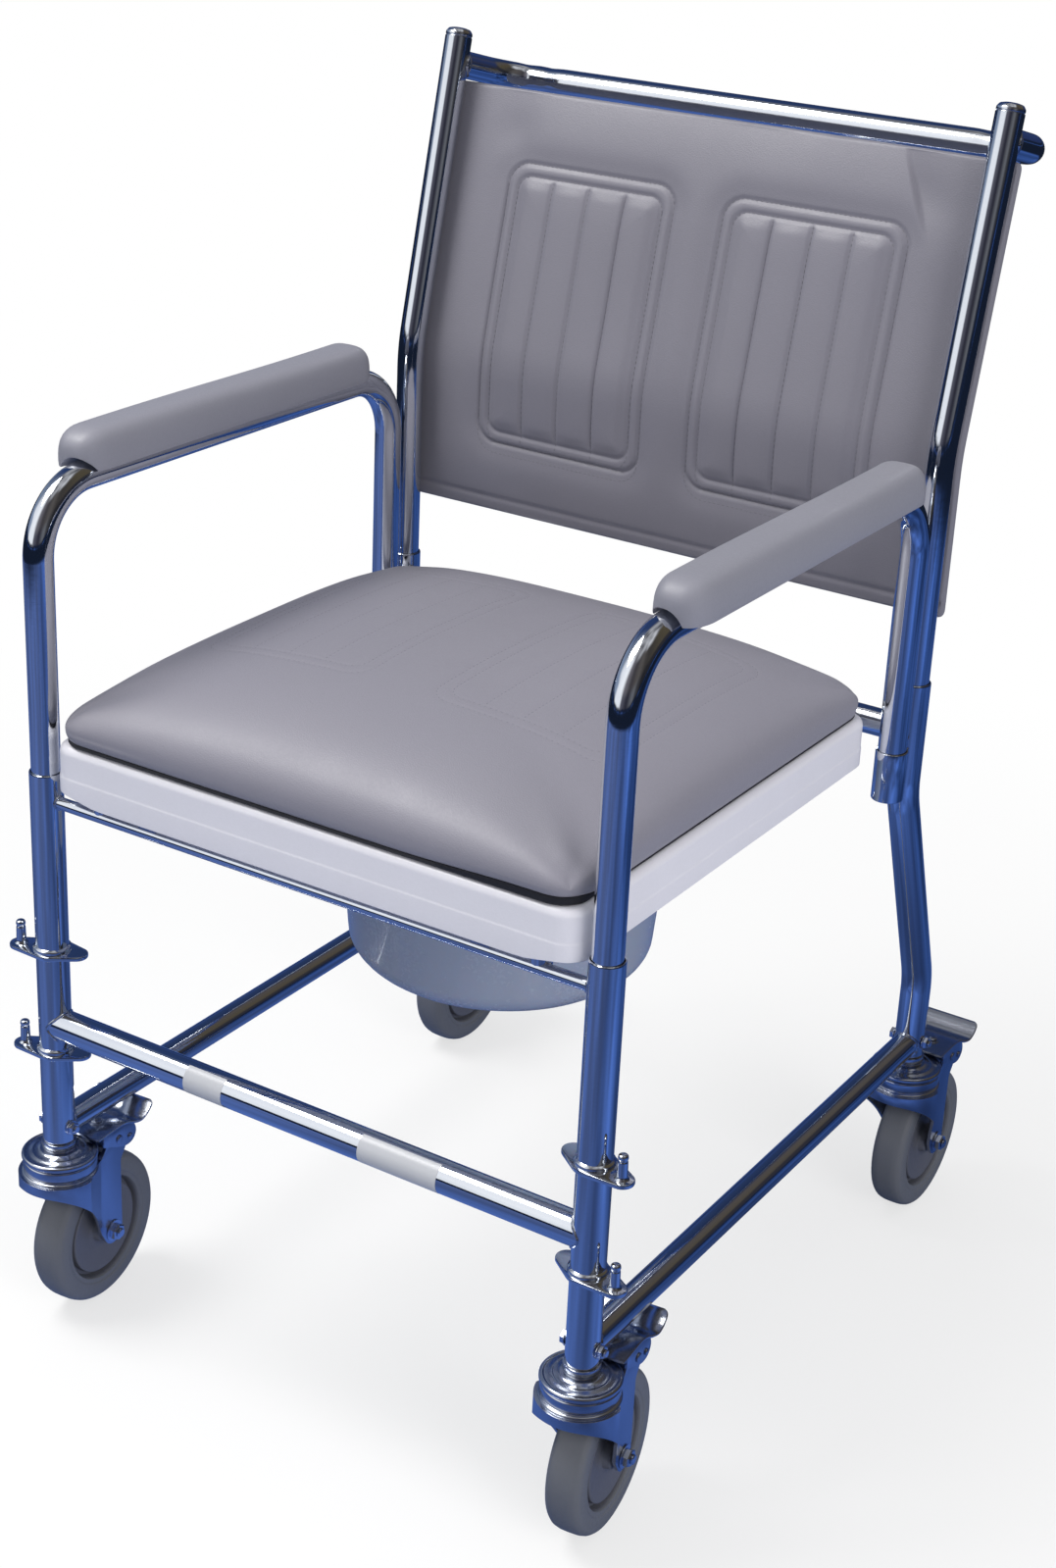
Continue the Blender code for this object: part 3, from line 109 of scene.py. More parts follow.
def size_property(label, description, default, low, high):
    return FloatProperty(name=label, description=description, default=default, min=low, max=high,
                         unit='LENGTH')


def power_property(label, description, default):
    return FloatProperty(name=label, description=description, default=default, min=0, max=500,
                         unit='POWER')


def colour_property(label, description, default):
    return FloatVectorProperty(name=label, description=description, default=default, min=0, max=1,
                               subtype='COLOR')


class ChairSizes(bpy.types.PropertyGroup):
    leg_radius: size_property("Leg radius", "Radius of the leg tubes", 0.0127, 0.008, 0.02)
    small_tube_radius: size_property("Small tube radius", "Radius of arm, back and cross tubes",
                                     0.0111, 0.006, 0.0115)
    front_rail_radius: size_property("Front rail radius", "Radius of the rail under the seat",
                                     0.0048, 0.003, 0.008)
    weld_size: size_property("Weld size", "Radius of the bead at each welded joint", 0.0012, 0.0004, 0.003)
    tube_sides: IntProperty(name="Tube sides", description="Faces round each tube",
                            default=40, min=16, max=96)
    cushion_crown: size_property("Cushion crown", "How far the seat cushion rises in the middle",
                                 0.0570, 0.01, 0.07)
    cushion_swell: size_property("Cushion swell", "The most that the filling pushes out", 0.0045, 0.0, 0.01)
    cushion_seam_depth: size_property("Cushion seam depth", "Depth of the cushion's faint seams",
                                      0.00035, 0.0, 0.004)
    panel_crown: size_property("Panel crown", "How far the back panel's padding stands forward",
                               0.008, 0.0, 0.02)
    panel_swell: size_property("Panel swell", "The most that the panel's filling pushes out",
                               0.0028, 0.0, 0.01)
    panel_seam_depth: size_property("Panel seam depth", "Depth of the back panel's seams",
                                    0.0017, 0.0, 0.005)
    panel_valley: size_property("Panel valley", "How far the padding dips beside the sewn fields",
                                0.0024, 0.0, 0.006)
    rib_rise: size_property("Rib rise", "How far each sewn rib of the back panel stands up",
                            0.0016, 0.0, 0.005)
    wheel_radius: size_property("Wheel radius", "Radius of the caster wheels", 0.0635, 0.04, 0.08)


class ChairColours(bpy.types.PropertyGroup):
    chrome: colour_property("Chrome", "Colour of the plated tubes", (0.78, 0.81, 0.86))
    zinc: colour_property("Zinc", "Colour of the casters' pressed metal", (0.58, 0.61, 0.68))
    vinyl: colour_property("Vinyl", "Colour of the cushion and back panel", (0.266, 0.258, 0.305))
    arm_foam: colour_property("Arm foam", "Colour of the arm pads", (0.264, 0.264, 0.310))
    seat_plastic: colour_property("Seat plastic", "Colour of the moulded seat", (0.78, 0.77, 0.83))
    pan_plastic: colour_property("Pan plastic", "Colour of the pan", (0.315, 0.355, 0.46))
    tyre_rubber: colour_property("Tyre rubber", "Colour of the tyres", (0.135, 0.142, 0.160))
    hub_plastic: colour_property("Hub plastic", "Colour of the wheel hubs", (0.108, 0.112, 0.135))


class ChairStage(bpy.types.PropertyGroup):
    key_power: power_property("Key power", "Power of the large lamp", 60)
    fill_power: power_property("Fill power", "Power of the second lamp", 38)
    ambient: FloatProperty(name="Ambient", description="Strength of the even light from all round",
                           default=0.52, min=0, max=3)
    surround: colour_property("Surround", "Colour of the cloth set that the plating mirrors",
                              (0.042, 0.098, 0.320))


# Curves and rings

def arc(centre_x, centre_y, radius, start, end, steps):
    """Points of an arc in degrees, ends included."""
    points = []
    for step in range(steps + 1):
        angle = radians(start + (end - start) * step / steps)
        points.append((centre_x + radius * cos(angle), centre_y + radius * sin(angle)))
    return points


def eased(points, reach, steps=3):
    """A line of 2D points with each inner corner rounded off over the given reach."""
    points = [Vector(point) for point in points]
    result = [points[0]]
    for before, corner, after in zip(points, points[1:], points[2:]):
        back = before - corner
        on = after - corner
        size = min(reach, back.length * 0.45, on.length * 0.45)
        start = corner + back.normalized() * size
        end = corner + on.normalized() * size
        for step in range(steps + 1):
            t = step / steps
            result.append(start * (1 - t) ** 2 + corner * 2 * t * (1 - t) + end * t ** 2)
    result.append(points[-1])
    return [tuple(point) for point in result]


def flowing(points, steps=6):
    """A smooth line through 2D points."""
    points = [Vector(point) for point in points]
    ends = [points[0] * 2 - points[1]] + points + [points[-1] * 2 - points[-2]]
    result = []
    for a, b, c, d in zip(ends, ends[1:], ends[2:], ends[3:]):
        for step in range(steps):
            t = step / steps
            result.append(tuple(0.5 * (2 * b + (c - a) * t + (2 * a - 5 * b + 4 * c - d) * t ** 2
                                       + (3 * b - a - 3 * c + d) * t ** 3)))
    result.append(tuple(points[-1]))
    return result


def rounded_path(corners, bend_radius, steps=18):
    """A centre line through the corners, with each inner corner rounded to an arc."""
    corners = [Vector(corner) for corner in corners]
    points = [corners[0]]
    for before, corner, after in zip(corners, corners[1:], corners[2:]):
        inward = (corner - before).normalized()
        outward = (after - corner).normalized()
        turn = inward.angle(outward)
        axis = inward.cross(outward).normalized()
        start = corner - inward * bend_radius * tan(turn / 2)
        centre = start + axis.cross(inward) * bend_radius
        for step in range(steps + 1):
            points.append(centre + Matrix.Rotation(turn * step / steps, 3, axis) @ (start - centre))
    points.append(corners[-1])
    return points


def path_frames(points):
    """A frame at each point, its Z along the path and carried along without twist."""
    runs = [(after - before).normalized() for before, after in zip(points, points[1:])]
    ways = [runs[0]] + [(before + after).normalized() for before, after in zip(runs, runs[1:])] + [runs[-1]]
    turn = Vector((0, 0, 1)).rotation_difference(ways[0])
    frames = []
    for index, point in enumerate(points):
        if index:
            turn = ways[index - 1].rotation_difference(ways[index]) @ turn
        frames.append(Matrix.Translation(point) @ turn.to_matrix().to_4x4())
    return frames


def turn_angles(count):
    """Evenly spaced angles of one whole turn."""
    return [2 * pi * index / count for index in range(count)]


def circle(place, radius, sides):
    """Points of a circle about the place's Z, or its middle alone where the radius is zero."""
    if radius == 0:
        return [place.translation.copy()]
    return [place @ Vector((radius * cos(angle), radius * sin(angle), 0)) for angle in turn_angles(sides)]


def ring_about(centre, first, second, size, sides):
    """Points of a circle round a centre, in the plane of two unit vectors."""
    return [centre + first * size * cos(angle) + second * size * sin(angle) for angle in turn_angles(sides)]


def in_ring(points):
    """Each point of a closed line between the one before it and the one after it."""
    return zip(points[-1:] + points[:-1], points, points[1:] + points[:1])


def spread(low, high, count):
    """Evenly spaced values from low to high, both included."""
    return [low + (high - low) * step / count for step in range(count + 1)]


def even_lines(low, high, pitch):
    """Evenly spaced values from low to high, about a pitch apart."""
    return spread(low, high, max(int(round((high - low) / pitch)), 1))


def rounded_outline(half_x, front, rear, corner, corner_steps, side_steps):
    """A rectangle with round corners, anticlockwise, its straight sides divided evenly."""
    centres = ((half_x - corner, rear - corner, 0), (corner - half_x, rear - corner, 90),
               (corner - half_x, front + corner, 180), (half_x - corner, front + corner, 270))
    corners = [arc(x, y, corner, start, start + 90, corner_steps) for x, y, start in centres]
    points = []
    for index, curve in enumerate(corners):
        points += curve
        last = Vector(curve[-1])
        following = Vector(corners[(index + 1) % len(corners)][0])
        points += [tuple(last.lerp(following, step / side_steps)) for step in range(1, side_steps)]
    return points


def up(height):
    return Matrix.Translation((0, 0, height))


ALONG_X = Matrix.Rotation(pi / 2, 4, 'Y')
# Local X, Y and Z of a side view stand for world Y, Z and X
SIDE_VIEW = Matrix(((0, 0, 1, 0), (1, 0, 0, 0), (0, 1, 0, 0), (0, 0, 0, 1)))
# Local X, Y and Z of a front view stand for world X, Z and Y
FRONT_VIEW = Matrix(((1, 0, 0, 0), (0, 0, 1, 0), (0, 1, 0, 0), (0, 0, 0, 1)))


# Mesh building

def bridge(work, first, second):
    """Faces between two loops of equal count, either of which may be a single point."""
    count = max(len(first), len(second))
    for index in range(count):
        following = (index + 1) % count
        corners = [first[index % len(first)], first[following % len(first)],
                   second[following % len(second)], second[index % len(second)]]
        work.faces.new(list(dict.fromkeys(corners)))


def add_skin(work, loops, closed=False):
    """A skin through loops of points, either a ring of loops or capped at both ends."""
    made = [[work.verts.new(point) for point in loop] for loop in loops]
    for first, second in zip(made, made[1:]):
        bridge(work, first, second)
    if closed:
        bridge(work, made[-1], made[0])
    else:
        for loop in (made[0], made[-1]):
            if len(loop) > 2:
                work.faces.new(loop)


def add_turned(work, profile, sides, place=None, closed=False):
    """A body turned about the place's Z from a list of radius and height pairs."""
    place = place or Matrix.Identity(4)
    add_skin(work, [circle(place @ up(height), radius, sides) for radius, height in profile], closed)


def add_prism(work, outline, low, high, place=None):
    """An outline in local X and Y, stretched from low to high along local Z."""
    place = place or Matrix.Identity(4)
    add_skin(work, [[place @ Vector((x, y, height)) for x, y in outline] for height in (low, high)])


def add_tube(work, frames, radius, sides, wall=0.0012, lip=0.0006, depth=0.012, radii=None):
    """A tube with rounded open ends, hollow to the given depth.

    The last ring of each end keeps the rounding out of the long straight run beside it.
    """
    inner = radius - wall

    def end(place, way):
        return [circle(place @ up(way * depth), inner, sides), circle(place @ up(way * lip), inner, sides),
                circle(place, inner + lip * 0.4, sides), circle(place, radius - lip, sides),
                circle(place @ up(way * lip * 0.3), radius - lip * 0.3, sides),
                circle(place @ up(way * lip), radius, sides),
                circle(place @ up(way * lip * 1.5), radius, sides)]

    radii = radii or [radius] * len(frames)
    middle = [circle(place, size, sides) for place, size in zip(frames[1:-1], radii[1:-1])]
    add_skin(work, end(frames[0], 1) + middle + end(frames[-1], -1)[::-1])


def seam_point(origin, aside, along, radius, leg_radius, angle):
    """A point of the line where a bar meets the round side of an upright leg."""
    offset = radius * cos(angle)
    reach = max(leg_radius ** 2 - offset ** 2, 0) ** 0.5
    return origin + aside * offset + Vector((0, 0, radius * sin(angle))) + along * reach


def add_coped_bar(work, start, end, radius, leg_radius, sides):
    """A straight bar between the axes of two upright legs, its ends fitted to their round sides."""
    along = (end - start).normalized()
    aside = Vector((0, 0, 1)).cross(along)
    ends = ((start, along), (end, -along))
    angles = turn_angles(sides)
    add_skin(work, [[seam_point(joint, aside, way, radius, leg_radius, angle) for angle in angles]
                    for joint, way in ends])


def add_weld(work, joint, along, radius, leg_radius, size):
    """A rippled bead where a bar meets an upright leg."""
    aside = Vector((0, 0, 1)).cross(along)
    angles = turn_angles(72)
    points = [seam_point(joint, aside, along, radius, leg_radius, angle) for angle in angles]
    loops = []
    for angle, (before, point, after) in zip(angles, in_ring(points)):
        outward = (aside * cos(angle) + Vector((0, 0, sin(angle)))).normalized()
        sideways = (after - before).normalized().cross(outward).normalized()
        loops.append(ring_about(point, outward, sideways, size * (1 + 0.10 * sin(angle * 21)), 8))
    add_skin(work, loops, closed=True)


def add_bead(work, points, size, sides=8, closed=True):
    """A round bead along points, as a closed ring or with its ends capped."""
    if not closed:
        add_skin(work, [circle(place, size, sides) for place in path_frames(points)])
        return
    loops = []
    for before, point, after in in_ring(points):
        way = (after - before).normalized()
        outward = way.cross(Vector((0, 0, 1))).normalized()
        loops.append(ring_about(point, outward, way.cross(outward), size, sides))
    add_skin(work, loops, closed=True)


def add_grid(work, rows):
    """Faces between the vertices of a grid, given row by row."""
    for first, second in zip(rows, rows[1:]):
        for corners in zip(first, first[1:], second[1:], second):
            work.faces.new(corners)


def grid_rim(rows):
    """What stands round the edge of a grid, in order."""
    right = [row[-1] for row in rows[1:]]
    left = [row[0] for row in rows[-2:0:-1]]
    return rows[0] + right + rows[-1][-2::-1] + left


def to_mesh(work, name="shape"):
    """Turns a bmesh into a mesh, its faces all turned outward."""
    bmesh.ops.recalc_face_normals(work, faces=work.faces)
    mesh = bpy.data.meshes.new(name)
    work.to_mesh(mesh)
    work.free()
    return mesh


def solid(add, *arguments, **options):
    """A mesh of its own from one of the add functions."""
    work = bmesh.new()
    add(work, *arguments, **options)
    return to_mesh(work)


def linked(name, data):
    """A new object in the scene."""
    made = bpy.data.objects.new(name, data)
    bpy.context.collection.objects.link(made)
    return made


def outcome(carrier):
    """The mesh that an object's modifiers make of its own."""
    return bpy.data.meshes.new_from_object(carrier.evaluated_get(bpy.context.evaluated_depsgraph_get()))


def with_modifier(mesh, kind, **options):
    """A copy of the mesh with one of Blender's modifiers applied."""
    carrier = linked("carrier", mesh)
    modifier = carrier.modifiers.new(kind.lower(), kind)
    for name, value in options.items():
        setattr(modifier, name, value)
    bpy.context.view_layer.update()
    result = outcome(carrier)
    bpy.data.objects.remove(carrier, do_unlink=True)
    return result


def combine(body, tool, operation):
    """The body cut by, added to or shared with another mesh."""
    other = linked("tool", tool)
    result = with_modifier(body, 'BOOLEAN', object=other, operation=operation, solver='EXACT')
    bpy.data.objects.remove(other, do_unlink=True)
    return result


def bevelled(mesh, width, segments=2, angle=32):
    """A copy whose edges sharper than the angle are rounded."""
    return with_modifier(mesh, 'BEVEL', width=width, segments=segments, limit_method='ANGLE',
                         angle_limit=radians(angle), use_clamp_overlap=True)


def joined(*meshes):
    """One mesh holding copies of several."""
    work = bmesh.new()
    for mesh in meshes:
        work.from_mesh(mesh)
    mesh = bpy.data.meshes.new("joined")
    work.to_mesh(mesh)
    work.free()
    return mesh


def piece(name, shape, finish, body, place=None, sharp=34):
    """Makes one visible piece from a bmesh or mesh and sets it on its body."""
    mesh = to_mesh(shape) if isinstance(shape, bmesh.types.BMesh) else shape
    mesh.name = name
    mesh.materials.clear()
    mesh.materials.append(finishes()[finish])
    mesh.shade_smooth()
    mesh.set_sharp_from_angle(angle=radians(sharp))
    made = linked(name, mesh)
    made.matrix_world = Matrix.Translation((0, FRONT_Y, 0)) @ (place or Matrix.Identity(4))
    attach(made, body)
    return made


def part(node, word, *arguments, **options):
    """A piece that takes the place of a CAD node and bears its name, with a word of its own added."""
    made = piece(f"{node}_{word}", *arguments, **options)
    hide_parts(node)
    return made


# Shader nodes, and node groups that several finishes share

def fill_inputs(tree, made, inputs):
    """Sets or links a node's inputs, each named, or given by its number as n0, n1 and so on."""
    for name, value in inputs.items():
        key = int(name[1:]) if name[0] == "n" and name[1:].isdigit() else name.replace("_", " ")
        if isinstance(value, bpy.types.NodeSocket):
            tree.links.new(value, made.inputs[key])
        else:
            made.inputs[key].default_value = value
    return made


def add_node(tree, kind, settings=None, **inputs):
    made = tree.nodes.new(kind)
    for name, value in (settings or {}).items():
        setattr(made, name, value)
    return fill_inputs(tree, made, inputs)


def maths(tree, operation, first, second=0.0, third=0.0):
    made = add_node(tree, 'ShaderNodeMath', {"operation": operation}, n0=first, n1=second, n2=third)
    return made.outputs[0]


def noise_value(tree, vector, scale, detail, roughness=0.5):
    made = add_node(tree, 'ShaderNodeTexNoise', Vector=vector, Scale=scale, Detail=detail,
                    Roughness=roughness)
    return made.outputs["Fac"]


def remapped(tree, value, low, high, to_low=0.0, to_high=1.0, kind='LINEAR'):
    """A value brought from one range to another and held inside it."""
    made = add_node(tree, 'ShaderNodeMapRange', {"interpolation_type": kind}, Value=value, From_Min=low,
                    From_Max=high, To_Min=to_low, To_Max=to_high)
    return made.outputs["Result"]


def mix(tree, share, first, second, blend='MIX'):
    made = add_node(tree, 'ShaderNodeMix', {"data_type": 'RGBA', "blend_type": blend}, n0=share, n6=first,
                    n7=second)
    return made.outputs[2]


def mix_shaders(tree, share, first, second):
    return add_node(tree, 'ShaderNodeMixShader', n0=share, n1=first.outputs[0], n2=second.outputs[0])


def new_group(name, inputs, outputs):
    """An empty group with its entry and exit nodes. A default tells what kind of socket an input has."""
    group = bpy.data.node_groups.new(name, 'ShaderNodeTree')
    group.interface.new_socket(name="Vector", in_out='INPUT', socket_type='NodeSocketVector')
    kinds = {3: 'NodeSocketVector', 4: 'NodeSocketColor'}
    for label, value in inputs.items():
        kind = kinds[len(value)] if isinstance(value, tuple) else 'NodeSocketFloat'
        group.interface.new_socket(name=label, in_out='INPUT', socket_type=kind).default_value = value
    for label, kind in outputs.items():
        group.interface.new_socket(name=label, in_out='OUTPUT', socket_type=kind)
    return group, group.nodes.new('NodeGroupInput').outputs, group.nodes.new('NodeGroupOutput').inputs


def spread_group():
    """Slow change of colour and roughness over a surface: batches, handling, a thin film of dust."""
    group, given, result = new_group(
        "uneven surface",
        {"Colour": (0.5, 0.5, 0.5, 1), "Other Colour": (0.4, 0.4, 0.4, 1), "Patch Scale": 12.0,
         "Fleck Scale": 300.0, "Amount": 0.5, "Roughness": 0.4, "Roughness Spread": 0.1},
        {"Colour": 'NodeSocketColor', "Roughness": 'NodeSocketFloat'})
    patch = noise_value(group, given["Vector"], given["Patch Scale"], 4.0, 0.55)
    fleck = noise_value(group, given["Vector"], given["Fleck Scale"], 2.0)
    both = maths(group, 'MULTIPLY_ADD', fleck, 0.35, maths(group, 'MULTIPLY', patch, 0.65))
    stretched = remapped(group, both, 0.34, 0.66)
    share = maths(group, 'MULTIPLY', stretched, given["Amount"])
    group.links.new(mix(group, share, given["Colour"], given["Other Colour"]), result["Colour"])
    centred = maths(group, 'SUBTRACT', stretched, 0.5)
    rough = maths(group, 'MULTIPLY_ADD', centred, given["Roughness Spread"], given["Roughness"])
    group.links.new(rough, result["Roughness"])
    return group


def grain_group():
    """Height of a pressed leather or moulded grain: rounded cells with finer pores."""
    group, given, result = new_group(
        "pressed grain", {"Cells": 900.0, "Pore Share": 0.4}, {"Height": 'NodeSocketFloat'})
    bend = add_node(group, 'ShaderNodeTexNoise', Vector=given["Vector"], Scale=160.0, Detail=1.0)
    shift = add_node(group, 'ShaderNodeVectorMath', {"operation": 'MULTIPLY_ADD'}, n0=bend.outputs["Color"],
                     n1=(0.002, 0.002, 0.002), n2=given["Vector"])
    cells = add_node(group, 'ShaderNodeTexVoronoi', {"feature": 'SMOOTH_F1'}, Vector=shift.outputs[0],
                     Scale=given["Cells"], Smoothness=0.35)
    pores = noise_value(group, given["Vector"], maths(group, 'MULTIPLY', given["Cells"], 2.3), 2.0)
    height = maths(group, 'MULTIPLY_ADD', pores, given["Pore Share"], cells.outputs["Distance"])
    group.links.new(height, result["Height"])
    return group


def scratch_group():
    """Mask of fine hairline marks drawn along one axis of the vector."""
    group, given, result = new_group(
        "hairlines", {"Stretch": (1, 1, 30), "Scale": 60.0, "Sparse": 0.62}, {"Mask": 'NodeSocketFloat'})
    drawn = add_node(group, 'ShaderNodeVectorMath', {"operation": 'MULTIPLY'}, n0=given["Vector"],
                     n1=given["Stretch"])
    lines = noise_value(group, drawn.outputs[0], given["Scale"], 3.0, 0.7)
    group.links.new(remapped(group, lines, given["Sparse"], 0.8), result["Mask"])
    return group


def use_group(tree, name, maker, **inputs):
    """A node of a shared group, which is made on its first use."""
    made = tree.nodes.new('ShaderNodeGroup')
    made.node_tree = bpy.data.node_groups.get(name) or maker()
    return fill_inputs(tree, made, inputs)


# Finishes

def shade(colour, factor):
    """A colour made darker or brighter by a factor."""
    return tuple(min(channel * factor, 1.0) for channel in colour)


def coated(name, colour, fade, roughness, change, patch, fleck, amount, **constants):
    """A Principled material whose colour and roughness vary slowly, and its tree, shader and vector."""
    made = bpy.data.materials.new(name)
    made.use_nodes = True
    tree = made.node_tree
    shader = fill_inputs(tree, tree.nodes["Principled BSDF"], constants)
    vector = add_node(tree, 'ShaderNodeTexCoord').outputs["Object"]
    surface = use_group(tree, "uneven surface", spread_group, Vector=vector, Colour=(*colour, 1),
                        Other_Colour=(*shade(colour, fade), 1), Patch_Scale=patch, Fleck_Scale=fleck,
                        Amount=amount, Roughness=roughness, Roughness_Spread=change)
    tree.links.new(surface.outputs["Colour"], shader.inputs["Base Color"])
    tree.links.new(surface.outputs["Roughness"], shader.inputs["Roughness"])
    made.diffuse_color = (*colour, 1)
    return made, tree, shader, vector


def relief(tree, shader, height, strength, distance):
    bump = add_node(tree, 'ShaderNodeBump', Height=height, Strength=strength, Distance=distance)
    tree.links.new(bump.outputs["Normal"], shader.inputs["Normal"])


def plated_finish(name, colour, roughness, change, lines, waviness):
    made, tree, shader, vector = coated(name, colour, 0.93, roughness, change, 9.0, 420.0, 0.7, Metallic=1.0)
    marks = use_group(tree, "hairlines", scratch_group, Vector=vector, Scale=lines)
    waves = noise_value(tree, vector, 70.0, 2.0)
    height = maths(tree, 'MULTIPLY_ADD', marks.outputs["Mask"], -0.15, waves)
    relief(tree, shader, height, waviness, 0.0008)
    return made


def vinyl_finish(name, colour, cells, depth, roughness):
    made, tree, shader, vector = coated(name, colour, 0.90, roughness, 0.14, 7.0, 520.0, 0.55,
                                        Sheen_Weight=0.06, Sheen_Roughness=0.45, Specular_IOR_Level=0.58)
    grain = use_group(tree, "pressed grain", grain_group, Vector=vector, Cells=cells)
    relief(tree, shader, grain.outputs["Height"], 0.45, depth)
    return made


def moulded_finish(name, colour, roughness, cells, depth, change=0.08, **constants):
    made, tree, shader, vector = coated(name, colour, 0.92, roughness, change, 14.0, 380.0, 0.5, **constants)
    grain = use_group(tree, "pressed grain", grain_group, Vector=vector, Cells=cells, Pore_Share=0.8)
    marks = use_group(tree, "hairlines", scratch_group, Vector=vector, Stretch=(24, 1, 2), Scale=26.0)
    height = maths(tree, 'MULTIPLY_ADD', marks.outputs["Mask"], -0.3, grain.outputs["Height"])
    relief(tree, shader, height, 0.35, depth)
    return made


FINISH_STORE = {}


def finishes():
    """Every finish by name, made on first use from the scene's colours."""
    if FINISH_STORE:
        return FINISH_STORE
    colours = bpy.context.scene.chair_colours
    vinyl = colours.vinyl
    black = (0.018, 0.018, 0.022)
    pale_film = (0.56, 0.57, 0.60)
    FINISH_STORE.update({
        "chrome": plated_finish("chrome plate", colours.chrome, 0.075, 0.05, 60.0, 0.05),
        "weld": plated_finish("plated weld", shade(colours.chrome, 0.92), 0.20, 0.10, 40.0, 0.35),
        "zinc": plated_finish("zinc plate", colours.zinc, 0.21, 0.12, 45.0, 0.12),
        "bolt": plated_finish("bright bolt", shade(colours.zinc, 1.25), 0.16, 0.08, 80.0, 0.10),
        "vinyl": vinyl_finish("grey vinyl", vinyl, 1000.0, 0.00022, 0.49),
        # The back panel's vinyl is the cushion's vinyl made darker: painted shade for the dimmer light on
        # the panel
        "shaded panel vinyl": vinyl_finish("shaded panel vinyl", shade(vinyl, 0.79), 1000.0, 0.00022, 0.45),
        "back vinyl": vinyl_finish("back cover vinyl", shade(vinyl, 0.80), 900.0, 0.00028, 0.52),
        "thread": moulded_finish("sewing thread", shade(vinyl, 0.62), 0.7, 3000.0, 0.0001),
        "arm foam": vinyl_finish("skinned foam", colours.arm_foam, 1500.0, 0.00014, 0.47),
        "seat plastic": moulded_finish("white seat plastic", colours.seat_plastic, 0.34, 700.0, 0.00012,
                                       Coat_Weight=0.15, Coat_Roughness=0.25),
        "pan plastic": moulded_finish("clouded pan plastic", colours.pan_plastic, 0.26, 420.0, 0.00010,
                                      Subsurface_Weight=0.18, Subsurface_Scale=0.01, Coat_Weight=0.25),
        "board": moulded_finish("black board", black, 0.62, 800.0, 0.0002),
        "rubber": moulded_finish("tyre rubber", colours.tyre_rubber, 0.47, 1300.0, 0.00015, change=0.16,
                                 Specular_IOR_Level=0.6),
        "hub": moulded_finish("hub plastic", colours.hub_plastic, 0.42, 900.0, 0.00012),
        "label": moulded_finish("blank film label", pale_film, 0.30, 500.0, 0.00006),
    })
    return FINISH_STORE


# Tube frame

def leg_path(side, rear):
    """Centre line of a leg: straight in front, cranked forward at the rear."""
    x = side * LEG_X
    if not rear:
        return [Vector((x, 0, LEG_FOOT_Z)), Vector((x, 0, FRONT_LEG_TOP_Z))]
    crank_low, crank_high = 0.240, 0.438
    return rounded_path([(x, WHEELBASE, LEG_FOOT_Z), (x, WHEELBASE, crank_low), (x, BACK_Y, crank_high),
                         (x, BACK_Y, REAR_LEG_TOP_Z)], 0.075, 16)


